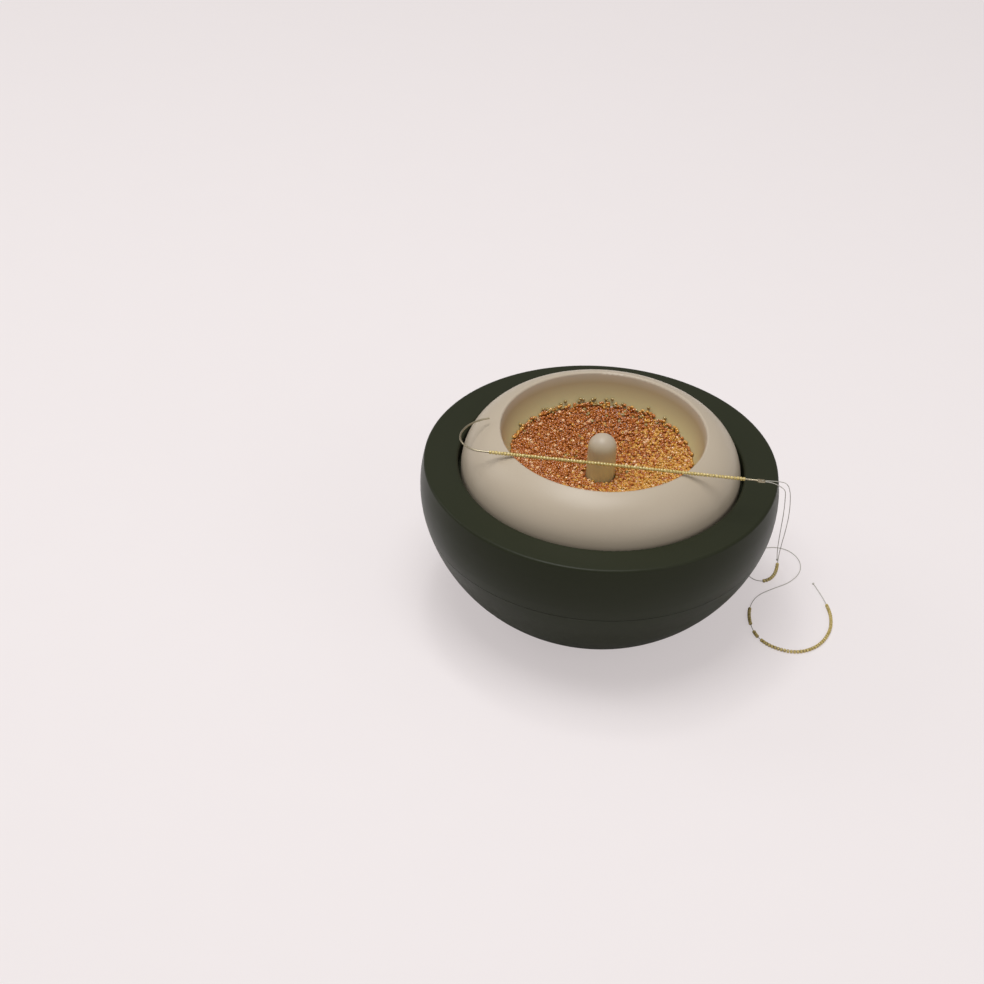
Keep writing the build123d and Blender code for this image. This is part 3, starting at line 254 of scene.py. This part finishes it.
# %% [markdown]
# ## Beads on the thread
# Each bead has the thread through its hole, so it stands square to the thread wherever it is.
# The strand's own smooth line is read back as a chain of points, and the beads are set along
# it a pitch apart, each turned its own way. The long string has two short breaks in it.

# %% Beads strung on the thread
thread_pitch = 1.72 * mm


def smooth_line(piece):
    """Points of a strand's middle line, and the length up to each."""
    thickness, piece.data.bevel_depth = piece.data.bevel_depth, 0
    mesh = bpy.data.meshes.new_from_object(piece)
    points = np.array([corner.co[:] for corner in mesh.vertices])
    bpy.data.meshes.remove(mesh)
    piece.data.bevel_depth = thickness
    steps = np.linalg.norm(np.diff(points, axis=0), axis=1)
    return points, np.concatenate([[0], np.cumsum(steps)])


def nearest_length(line, point):
    """Length along a line up to its nearest point."""
    points, lengths = line
    apart = np.linalg.norm(points - np.array(point) * mm, axis=1)
    return lengths[int(np.argmin(apart))]


def along(line, length):
    """Point and direction of a line at a length."""
    points, lengths = line
    here = Vector([np.interp(length, lengths, points[:, axis]) for axis in range(3)])
    ahead = Vector([np.interp(length + mm / 2, lengths, points[:, axis]) for axis in range(3)])
    back = Vector([np.interp(length - mm / 2, lengths, points[:, axis]) for axis in range(3)])
    return here, (ahead - back).normalized()


def bead_run(line, start, end, play):
    """Places of beads along a line between two lengths."""
    places = []
    length = start + thread_pitch / 2
    while length < end:
        here, heading = along(line, length)
        square = heading.to_track_quat("Z", "Y").to_matrix().to_4x4()
        spin = Matrix.Rotation(play.uniform(0, math.tau), 4, "Z")
        places.append(Matrix.Translation(here) @ square @ spin)
        length += thread_pitch
    return places


play = random.Random(7)
line = smooth_line(long_strand)
marked_points = (10, 13, 25, 26, 27, 33)
marks = [nearest_length(line, long_route[number]) for number in marked_points]
group_start, group_end, long_start, break_start, break_end, long_end = marks
break_middle = (break_start + break_end) / 2
runs = [(group_start, group_end), (long_start, break_start), (break_middle, break_end)]
runs.append((break_end + thread_pitch, long_end))
thread_bead_places = []
for run_start, run_end in runs:
    thread_bead_places += bead_run(line, run_start, run_end, play)
strung_on_thread = beads_piece("beads_on_thread", strung_bead, thread_bead_places)

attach(long_strand, "needle")
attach(short_strand, "needle")
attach(strung_on_thread, "needle")
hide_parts("thread")
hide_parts("thread_strand")
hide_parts("thread_beads")

# %% [markdown]
# ## Beads on the needle
# The needle is loaded from its hook towards its eye. Spinning packs the beads close, so they
# stand a pitch apart with their ends almost touching. Each is turned its own way, and their
# sizes differ a little.

# %% Beads strung on the needle
needle_pitch = 1.5 * mm
needle_end = Vector((eye_x, eye_y, needle_z)) * mm
needle_bend = Vector((-60.5, -27.4, needle_z)) * mm
needle_way = (needle_bend - needle_end).normalized()
bare_by_eye, bare_by_bend = 9.9 * mm, 3 * mm
thinnest, thickest = 0.9, 1.0
beaded_length = (needle_bend - needle_end).length - bare_by_eye - bare_by_bend
needle_count = int(beaded_length / needle_pitch)
square = needle_way.to_track_quat("Z", "Y").to_matrix().to_4x4()
needle_places = []
for number in range(needle_count):
    here = needle_end + needle_way * (bare_by_eye + (number + 0.5) * needle_pitch)
    spin = Matrix.Rotation(play.uniform(0, math.tau), 4, "Z")
    swell = Matrix.Scale(play.uniform(thinnest, thickest), 4)
    needle_places.append(Matrix.Translation(here) @ square @ spin @ swell)
strung_on_needle = beads_piece("beads_on_needle", strung_bead, needle_places)
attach(strung_on_needle, "needle")
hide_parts("needle_beads")

# %% [markdown]
# ## Beads in the bowl
# As the bowl turns, its beads climb the wall, so their surface is a shallow dish, lowest at
# the post. Filling it with physics would take minutes. Only the top shows, so a smooth bed
# carries two layers of beads, each bead turned at random and the lower layer sunk deeper. The
# places follow a sunflower spiral, whose points are evenly spread, and are then shaken.

# %% Surface of the beads
low_z, edge_z = 77.3 * mm, 88.5 * mm
sag_share = 0.30  # share of the rise that is reached half-way to the wall
bed_inner = 7.5 * mm
bed_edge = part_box("bead_fill")[1][0]
bed_span = bed_edge - bed_inner
rise = edge_z - low_z


def bead_surface(r):
    """Height of the beads at distance r from the post."""
    share = (r - bed_inner) / bed_span
    return low_z + rise * ((4 * sag_share - 1) * share + (2 - 4 * sag_share) * share**2)


# %% Bed under the loose beads
bed_drop = 0.9 * mm
bed_rings, bed_around = 40, 128
ripple_height, ripples_around = 0.25 * mm, 5
bed_corners, bed_faces = [], []
for ring in range(bed_rings + 1):
    r = bed_inner + bed_span * ring / bed_rings
    for step in range(bed_around):
        angle = math.tau * step / bed_around
        ripple = ripple_height * math.sin(ripples_around * angle + ring / 3) * math.sin(ring / 5)
        z = bead_surface(r) - bed_drop + ripple
        bed_corners.append((r * math.cos(angle), r * math.sin(angle), z))
for ring in range(bed_rings):
    for step in range(bed_around):
        following = (step + 1) % bed_around
        inner, outer = ring * bed_around, (ring + 1) * bed_around
        bed_faces.append((inner + step, outer + step, outer + following, inner + following))
bed_mesh = bpy.data.meshes.new("bead_bed")
bed_mesh.from_pydata(bed_corners, [], bed_faces)
bed_mesh.shade_smooth()
bead_bed = add("bead_bed", bed_mesh)
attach(bead_bed, "bowl")
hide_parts("bead_fill")

# %% Loose beads
toss = random.Random(21)
golden_turn = math.pi * (3 - math.sqrt(5))
edge_clear = 0.9 * bead_radius
shake, height_play = 0.5, 0.3  # in bead radii
smallest, largest = 0.86, 1.04


def tossed_places(count, depth, tilt):
    """Random bead places spread evenly over the surface, at a depth under it."""
    places = []
    inner, outer = bed_inner + edge_clear, bed_edge - edge_clear
    for number in range(count):
        r = math.sqrt(inner**2 + (outer**2 - inner**2) * (number + 0.5) / count)
        angle = number * golden_turn
        x = r * math.cos(angle) + toss.uniform(-shake, shake) * bead_radius
        y = r * math.sin(angle) + toss.uniform(-shake, shake) * bead_radius
        r = min(max(math.hypot(x, y), inner), outer)
        angle = math.atan2(y, x)
        z = bead_surface(r) - depth + toss.uniform(-height_play, height_play) * bead_radius
        lean = Matrix.Rotation(toss.gauss(0, tilt), 4, "X")
        heading = Matrix.Rotation(toss.uniform(0, math.tau), 4, "Z")
        size = Matrix.Scale(toss.uniform(smallest, largest), 4)
        spot = Matrix.Translation((r * math.cos(angle), r * math.sin(angle), z))
        places.append(spot @ heading @ lean @ size)
    return places


top_layer = tossed_places(count=2700, depth=0.35 * bead_radius, tilt=1.1)
low_layer = tossed_places(count=1300, depth=0.95 * bead_radius, tilt=1.1)

# %% [markdown]
# ## Five tints
# The beads aren't one colour: copper and amber lie at the left, gold gathers at the front right,
# pale ones lie everywhere as painted glints, light beads that stand in for highlights, and a few
# olive ones sit at the back. Each bead draws its tint at random, with odds that depend on its
# place. The turning has flung some beads up the wall.

# %% Beads flung up the wall
wall_lean = math.radians(62)
wall_clear = 0.95 * bead_radius
back_degrees = 100
flung_size = 0.9


def flung_places(count, highest, spread):
    """Beads that rest on the wall a little above the others, mostly at the back."""
    places = []
    for _ in range(count):
        climb = toss.random() ** 2 * highest
        angle = math.radians(toss.gauss(back_degrees, spread))
        r = bed_edge - wall_clear + climb * math.cos(wall_lean)
        z = edge_z + climb * math.sin(wall_lean)
        heading = Matrix.Rotation(angle, 4, "Z") @ Matrix.Rotation(wall_lean, 4, "Y")
        spot = Matrix.Translation((r * math.cos(angle), r * math.sin(angle), z))
        places.append(spot @ heading @ Matrix.Scale(flung_size, 4))
    return places


# %% Sort the beads by tint
# golden grows from 0 at the left and back to 1 at the front right; back grows near the back wall
tinted = {"copper": [], "amber": [], "gold": [], "pale": [], "olive": []}
for spot in top_layer + low_layer:
    here = spot.translation
    golden = min(1, max(0, 0.35 + 0.9 * (here.x - 0.8 * here.y) / bed_edge))
    back = max(0, here.y / bed_edge - 0.6)
    odds = {
        "copper": 0.55 * (1 - golden),
        "amber": 0.42 - 0.1 * golden,
        "gold": 0.03 + 0.75 * golden,
        # pale beads are painted glints: light beads that stand in for highlights
        "pale": 0.06,
        "olive": 0.01 + 0.35 * back,
    }
    tint = toss.choices(list(odds), list(odds.values()))[0]
    tinted[tint].append(spot)
tinted["olive"] += flung_places(count=45, highest=3.6 * mm, spread=32)
tinted["amber"] += flung_places(count=90, highest=1.5 * mm, spread=75)
tinted["gold"] += flung_places(count=70, highest=1.5 * mm, spread=75)
loose_pieces = {}
for tint, places in tinted.items():
    piece = beads_piece(f"loose_beads_{tint}", loose_bead, places)
    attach(piece, "bowl")
    loose_pieces[tint] = piece

# %% [markdown]
# ## Shader helper
# A material's nodes read better as sums than as links. A Signal wraps one output socket, and
# its operators add Math nodes, so `0.3 + 0.1 * grain` is written as it is meant. A Finish is
# one material with its main shader, and its node() adds any other node: settings first, then
# the values or links of its sockets.

# %% Shader helper


class Signal:
    """An output socket; arithmetic on it adds Math nodes."""

    def __init__(self, finish, socket):
        self.finish = finish
        self.socket = socket

    def maths(self, operation, first, second):
        inputs = {0: first, 1: second}
        return self.finish.node("ShaderNodeMath", {"operation": operation}, inputs)

    def __add__(self, other):
        return self.maths("ADD", self, other)

    def __radd__(self, other):
        return self.maths("ADD", other, self)

    def __sub__(self, other):
        return self.maths("SUBTRACT", self, other)

    def __rsub__(self, other):
        return self.maths("SUBTRACT", other, self)

    def __mul__(self, other):
        return self.maths("MULTIPLY", self, other)

    def __rmul__(self, other):
        return self.maths("MULTIPLY", other, self)

    def above(self, limit):
        return self.maths("GREATER_THAN", self, limit)


class Finish:
    """A material with its main shader, and one way to add any node."""

    def __init__(self, name, roughness=0.5, metallic=0.0, coat=0.0, specular=0.5):
        self.material = bpy.data.materials.new(name)
        self.material.use_nodes = True
        self.tree = self.material.node_tree
        self.shader = self.tree.nodes["Principled BSDF"]
        self.shader.inputs["Roughness"].default_value = roughness
        self.shader.inputs["Metallic"].default_value = metallic
        self.shader.inputs["Coat Weight"].default_value = coat
        self.shader.inputs["Specular IOR Level"].default_value = specular

    def feed(self, socket, value):
        if isinstance(value, Signal):
            self.tree.links.new(value.socket, socket)
        elif isinstance(value, tuple) and len(value) == 3 and socket.type == "RGBA":
            socket.default_value = (*value, 1)
        else:
            socket.default_value = value

    def node(self, kind, settings=None, inputs=None, output=0):
        made = self.tree.nodes.new(kind)
        for key, value in (settings or {}).items():
            if key == "stops":
                for stop, (position, colour) in zip(made.color_ramp.elements, value):
                    stop.position = position
                    stop.color = (*colour, 1)
            else:
                setattr(made, key, value)
        for key, value in (inputs or {}).items():
            self.feed(made.inputs[key], value)
        return Signal(self, made.outputs[output])

    def place(self):
        return self.node("ShaderNodeTexCoord", output="Object")

    def noise(self, scale, detail, vector=None):
        inputs = {"Vector": vector or self.place(), "Scale": scale, "Detail": detail}
        return self.node("ShaderNodeTexNoise", inputs=inputs)

    def mix(self, factor, first, second):
        settings = {"data_type": "RGBA"}
        return self.node("ShaderNodeMix", settings, {0: factor, 6: first, 7: second}, output=2)

    def colour(self, value):
        self.base = value
        self.feed(self.shader.inputs["Base Color"], value)

    def roughness(self, value):
        self.feed(self.shader.inputs["Roughness"], value)

    def bump(self, height, depth):
        inputs = {"Height": height, "Distance": depth, "Strength": 1.0}
        self.feed(self.shader.inputs["Normal"], self.node("ShaderNodeBump", inputs=inputs))


# %% [markdown]
# ## Moulded plastics
# The base is a very dark green-black plastic with little gloss, and the bowl a warm ivory one.
# Real mouldings are never quite even: the colour drifts a little, handling leaves soft smears
# in the gloss, and the skin has a faint orange peel that bends the highlights.

# %% Plastic finishes
drift_scale, smear_scale, peel_scale, grain_scale = 14.0, 55.0, 260.0, 900.0


def plastic(name, colour, drift_colour, roughness, specular=0.5, peel=0.015 * mm):
    finish = Finish(name, roughness=roughness, specular=specular)
    drift = finish.noise(drift_scale, 2.0)
    finish.colour(finish.mix(drift, colour, drift_colour))
    smear = finish.noise(smear_scale, 4.0)
    grain = finish.noise(grain_scale, 2.0)
    finish.roughness(roughness - 0.05 + 0.1 * smear + 0.03 * grain)
    finish.bump(finish.noise(peel_scale, 2.0) + 0.3 * grain, peel)
    return finish


dark, dark_drift = (0.021, 0.024, 0.012), (0.026, 0.029, 0.016)
dark_plastic = plastic("dark_plastic", dark, dark_drift, 0.34, specular=0.12, peel=0.004 * mm)
ivory, ivory_drift = (0.475, 0.40, 0.305), (0.505, 0.43, 0.33)
ivory_plastic = plastic("ivory_plastic", ivory, ivory_drift, 0.36, specular=0.35)
gear_plastic = plastic("gear_plastic", (0.78, 0.76, 0.70), (0.72, 0.70, 0.63), 0.42)
black_plastic = plastic("black_plastic", (0.018, 0.018, 0.019), (0.026, 0.026, 0.028), 0.38)
grey_plastic = plastic("grey_plastic", (0.06, 0.06, 0.065), (0.08, 0.08, 0.085), 0.5)
red_insulation = plastic("red_insulation", (0.42, 0.025, 0.02), (0.36, 0.02, 0.015), 0.4)
black_insulation = plastic("black_insulation", (0.02, 0.02, 0.02), (0.03, 0.03, 0.03), 0.4)

# %% [markdown]
# ## Painted shade and bead light inside the bowl
# Beads throw yellow light on the wall around them and on the post. A path tracer shows part of
# it; the rest is painted into the colour: a painted shade, brown, under the lip, and painted
# yellow bead light towards the beads and on the post.

# %% Painted shade and bead light inside the bowl
bowl_mesh = nodes["bowl"].data
lip_band = 1.2 * mm  # stays plain under the lip's crest
shown_depth = 28 * mm  # as far down as the inside shows
post_clear = 9 * mm  # the post lies within this radius
crest_slice = 0.3 * mm
lip_height = max(corner.co.z for corner in bowl_mesh.vertices)
lip_radius = min(
    math.hypot(corner.co.x, corner.co.y)
    for corner in bowl_mesh.vertices
    if corner.co.z > lip_height - crest_slice
)


def paint_lip_shade_and_bead_glow(finish, lip_shade_colour, bead_glow_colour, lip_shade_depth, bead_glow_depth):
    """Paints shade brown under the bowl's lip, and yellow bead light further down."""
    place = {"Vector": finish.place()}
    x, y, z = [finish.node("ShaderNodeSeparateXYZ", inputs=place, output=axis) for axis in range(3)]
    square = x * x + y * y
    inside = z.above(lip_height - shown_depth) - square.above(lip_radius**2)
    wall = inside * square.above(post_clear**2)
    depth = lip_height - lip_band - z
    # painted shade: the wall turns brown under the lip, where the lip shades it
    lip_shaded_colour = finish.mix(wall * depth * (1 / lip_shade_depth), finish.base, lip_shade_colour)
    # painted bead light: lower down, the wall and the post turn yellow
    lower = inside * (depth - lip_shade_depth) * (1 / (bead_glow_depth - lip_shade_depth))
    finish.colour(finish.mix(lower, lip_shaded_colour, bead_glow_colour))


# painted shade under the lip and painted yellow bead light lower down
paint_lip_shade_and_bead_glow(
    ivory_plastic,
    lip_shade_colour=(0.40, 0.31, 0.18),
    bead_glow_colour=(0.60, 0.53, 0.27),
    lip_shade_depth=4 * mm,
    bead_glow_depth=18 * mm,
)

# %% [markdown]
# ## Rubber
# The feet are soft black rubber: no gloss, a fine grain, and dust that lightens it in spots.

# %% Rubber finish
rubber = Finish("foot_rubber", roughness=0.8, specular=0.3)
dust = rubber.noise(420.0, 5.0)
rubber.colour(rubber.mix(dust.above(0.62), (0.028, 0.028, 0.028), (0.07, 0.068, 0.064)))
rubber.roughness(0.72 + 0.2 * dust)
rubber.bump(rubber.noise(1500.0, 3.0), 0.06 * mm)

# %% [markdown]
# ## Metals
# Turned and drawn metal has fine lines along one direction. Stretching a noise along that
# direction draws them, and they go into the roughness and the bump, where the eye finds them.

# %% Metal finishes


def metal(name, colour, roughness, stretch):
    finish = Finish(name, roughness=roughness, metallic=1.0)
    inputs = {"Vector": finish.place(), "Scale": stretch}
    lines = finish.noise(1.0, 3.0, finish.node("ShaderNodeMapping", inputs=inputs))
    tarnish = finish.noise(160.0, 4.0)
    dull = tuple(0.8 * value for value in colour)
    finish.colour(finish.mix(tarnish, colour, dull))
    finish.roughness(roughness - 0.08 + 0.16 * lines + 0.06 * tarnish)
    finish.bump(lines, 0.01 * mm)
    return finish


steel = metal("turned_steel", (0.56, 0.56, 0.57), 0.3, (120.0, 120.0, 2400.0))
needle_steel = metal("needle_wire", (0.46, 0.40, 0.28), 0.34, (2000.0, 2000.0, 2000.0))
brass = metal("brass", (0.72, 0.52, 0.22), 0.3, (150.0, 150.0, 2200.0))
motor_steel = metal("motor_case_steel", (0.52, 0.52, 0.52), 0.38, (300.0, 300.0, 900.0))
tinned = metal("tinned_contact", (0.66, 0.65, 0.61), 0.28, (900.0, 900.0, 400.0))
magnet = metal("magnet_iron", (0.10, 0.10, 0.11), 0.6, (700.0, 700.0, 700.0))

# %% [markdown]
# ## Battery wrap
# A cell is wrapped in printed film: a dark green body and a copper-coloured end at the nub.
# The two cells lie opposite ways, so the split is made on the distance along X of each cell.

# %% Battery finish
copper_from = 12 * mm


def cell_wrap(name, side):
    finish = Finish(name, roughness=0.3)
    x = finish.node("ShaderNodeSeparateXYZ", inputs={"Vector": finish.place()})
    end = (side * x).above(copper_from)
    scuffs = finish.noise(220.0, 5.0)
    green = finish.mix(scuffs, (0.02, 0.06, 0.04), (0.035, 0.09, 0.06))
    finish.colour(finish.mix(end, green, (0.55, 0.30, 0.13)))
    finish.roughness(0.24 + 0.12 * scuffs)
    return finish


cell_wraps = [cell_wrap("cell_wrap_right", 1), cell_wrap("cell_wrap_left", -1)]

# %% [markdown]
# ## Glass beads
# Transparent seed beads glow: light goes in, bounces about and comes back coloured, and the
# polished skin adds a point of white. Traced glass would be slow and dark at this size, so the
# glow is a saturated base colour with lighter and darker patches, and the skin is a coat.

# %% Bead finishes


def bead_glass(name, light, dark, roughness, patch_scale=900.0):
    finish = Finish(name, roughness=roughness, coat=0.6, specular=0.6)
    patches = finish.noise(patch_scale, 2.0)
    stops = [(0.38, dark), (0.62, light)]
    finish.colour(finish.node("ShaderNodeValToRGB", {"stops": stops}, {"Fac": patches}))
    finish.roughness(roughness + 0.1 * finish.noise(2600.0, 2.0))
    return finish


# Colour of the light patches, colour of the dark ones, roughness
tint_looks = {
    "copper": ((0.50, 0.150, 0.024), (0.38, 0.105, 0.016), 0.08),
    "amber": ((0.58, 0.200, 0.030), (0.44, 0.140, 0.020), 0.08),
    "gold": ((0.76, 0.40, 0.070), (0.58, 0.280, 0.042), 0.1),
    # pale: painted glints, a light colour standing in for the beads' highlights
    "pale": ((0.92, 0.62, 0.36), (0.80, 0.45, 0.20), 0.08),
    "olive": ((0.46, 0.34, 0.12), (0.28, 0.19, 0.06), 0.14),
}
tint_glass = {tint: bead_glass(f"{tint}_glass", *look) for tint, look in tint_looks.items()}
bed_glass = bead_glass(
    "bed_of_beads", (0.40, 0.120, 0.020), (0.26, 0.075, 0.012), 0.4, patch_scale=700.0
)
string_glass = bead_glass("string_glass", (0.72, 0.56, 0.20), (0.46, 0.34, 0.09), 0.18)

# %% [markdown]
# ## Thread
# Beading thread is spun from fine filaments, so it has a soft sheen and is a little uneven. A
# fine noise is enough to suggest that at this size.

# %% Thread finish
spun = Finish("spun_thread", roughness=0.5, specular=0.4)
fibres = spun.noise(1800.0, 4.0)
spun.colour(spun.mix(fibres, (0.42, 0.40, 0.34), (0.60, 0.58, 0.52)))
spun.roughness(0.4 + 0.25 * fibres)
spun.bump(fibres, 0.05 * mm)

# %% [markdown]
# ## Giving out the finishes
# Each solid keeps its mesh and gets a finish through its material slot; the pieces made here
# get theirs the same way.

# %% Give out the finishes


def give(finish, *pieces):
    for piece in pieces:
        piece.data.materials.clear()
        piece.data.materials.append(finish.material)


finishes = {
    dark_plastic: ["upper_housing", "lower_housing", "battery_door"],
    ivory_plastic: ["bowl"],
    gear_plastic: ["spindle_gear", "idler_gear", "drive_hub"],
    black_plastic: ["switch_body", "switch_rocker", "motor_end_cap"],
    grey_plastic: ["gear_plate"],
    rubber: ["rubber_feet"],
    steel: ["housing_screws", "door_screws", "plate_screws", "motor_screws", "spindle_shaft"],
    motor_steel: ["motor_can", "armature", "idler_axle", "motor_shaft", "spindle_clip"],
    brass: ["upper_bush", "lower_bush", "motor_pinion"],
    magnet: ["motor_magnets"],
    tinned: [
        "motor_terminals",
        "switch_terminals",
        "battery_bridge",
        "battery_plus",
        "battery_minus",
    ],
    cell_wraps[0]: ["battery_cell_1"],
    cell_wraps[1]: ["battery_cell_2"],
    red_insulation: ["battery_wire_plus", "motor_wire_left"],
    black_insulation: ["battery_wire_minus", "motor_wire_right"],
    needle_steel: ["needle"],
    spun: ["thread_knots"],
    string_glass: ["needle_beads", "thread_beads"],
    bed_glass: ["bead_fill"],
}
for finish, names in finishes.items():
    give(finish, *[nodes[name] for name in names])
give(spun, long_strand, short_strand)
give(string_glass, strung_on_thread, strung_on_needle)
give(bed_glass, bead_bed)
for tint, piece in loose_pieces.items():
    give(tint_glass[tint], piece)

# %% [markdown]
# ## Floor and light
# The spinner stands on a plain pale floor. For the camera, part of the floor's brightness is
# its own, so it stays pale to the edges of the picture and still shows a soft shadow. A large
# soft lamp from above shapes the bowl, weaker ones fill from both sides, and an even world
# light does the rest. A small lamp, the spark, puts a point of light on every bead. The camera
# sees the world as pale as the floor.

# %% Floor
reach = 0.9
floor_corners = [(-reach, -reach, 0), (reach, -reach, 0), (reach, reach, 0), (-reach, reach, 0)]
floor_mesh = bpy.data.meshes.new("floor")
floor_mesh.from_pydata(floor_corners, [], [(0, 1, 2, 3)])
floor = add("floor", floor_mesh)

own_share = 0.55  # of the brightness that the camera sees
paper = Finish("floor_paper", roughness=0.9, specular=0.1)
speck = paper.noise(40.0, 3.0)
paper.colour(paper.mix(speck, (0.84, 0.80, 0.80), (0.86, 0.82, 0.82)))
plain = Signal(paper, paper.shader.outputs[0])
glow_inputs = {"Color": (0.90, 0.83, 0.83), "Strength": 1.0}
glow = paper.node("ShaderNodeEmission", inputs=glow_inputs)
camera_ray = paper.node("ShaderNodeLightPath", output="Is Camera Ray")
blend_inputs = {0: own_share * camera_ray, 1: plain, 2: glow}
blend = paper.node("ShaderNodeMixShader", inputs=blend_inputs)
paper.feed(paper.tree.nodes["Material Output"].inputs["Surface"], blend)
give(paper, floor)

# %% World and lamps
world_light, world_seen = 0.30, 0.80
spinner_middle = Vector((0, 0, 0.07))
world = bpy.data.worlds.new("studio")
world.use_nodes = True
background = world.node_tree.nodes["Background"]
background.inputs["Color"].default_value = (1.0, 0.97, 0.96, 1)
seen = world.node_tree.nodes.new("ShaderNodeLightPath")
brighter = world.node_tree.nodes.new("ShaderNodeMapRange")
brighter.inputs["To Min"].default_value = world_light
brighter.inputs["To Max"].default_value = world_seen
world.node_tree.links.new(seen.outputs["Is Camera Ray"], brighter.inputs["Value"])
world.node_tree.links.new(brighter.outputs["Result"], background.inputs["Strength"])
scene.world = world


def soft_lamp(name, position, size, energy):
    """Square lamp aimed at the middle of the spinner."""
    data = bpy.data.lights.new(name, "AREA")
    data.size = size
    data.energy = energy
    lamp = add(name, data)
    lamp.location = position
    aim = spinner_middle - Vector(position)
    lamp.rotation_euler = aim.to_track_quat("-Z", "Y").to_euler()


soft_lamp("key", position=(-0.15, -0.15, 1.5), size=0.8, energy=13)
soft_lamp("spark", position=(-0.2, 0.3, 1.4), size=0.2, energy=2.2)
soft_lamp("fill", position=(1.2, -0.9, 0.9), size=1.0, energy=3)
soft_lamp("side", position=(-1.3, 0.5, 0.95), size=0.7, energy=3)

# %% [markdown]
# ## Colour and close
# The Standard view shows colours as they are written. The last line brings the scene up to date.

# %% Close
scene.view_settings.view_transform = "Standard"
bpy.context.view_layer.update()
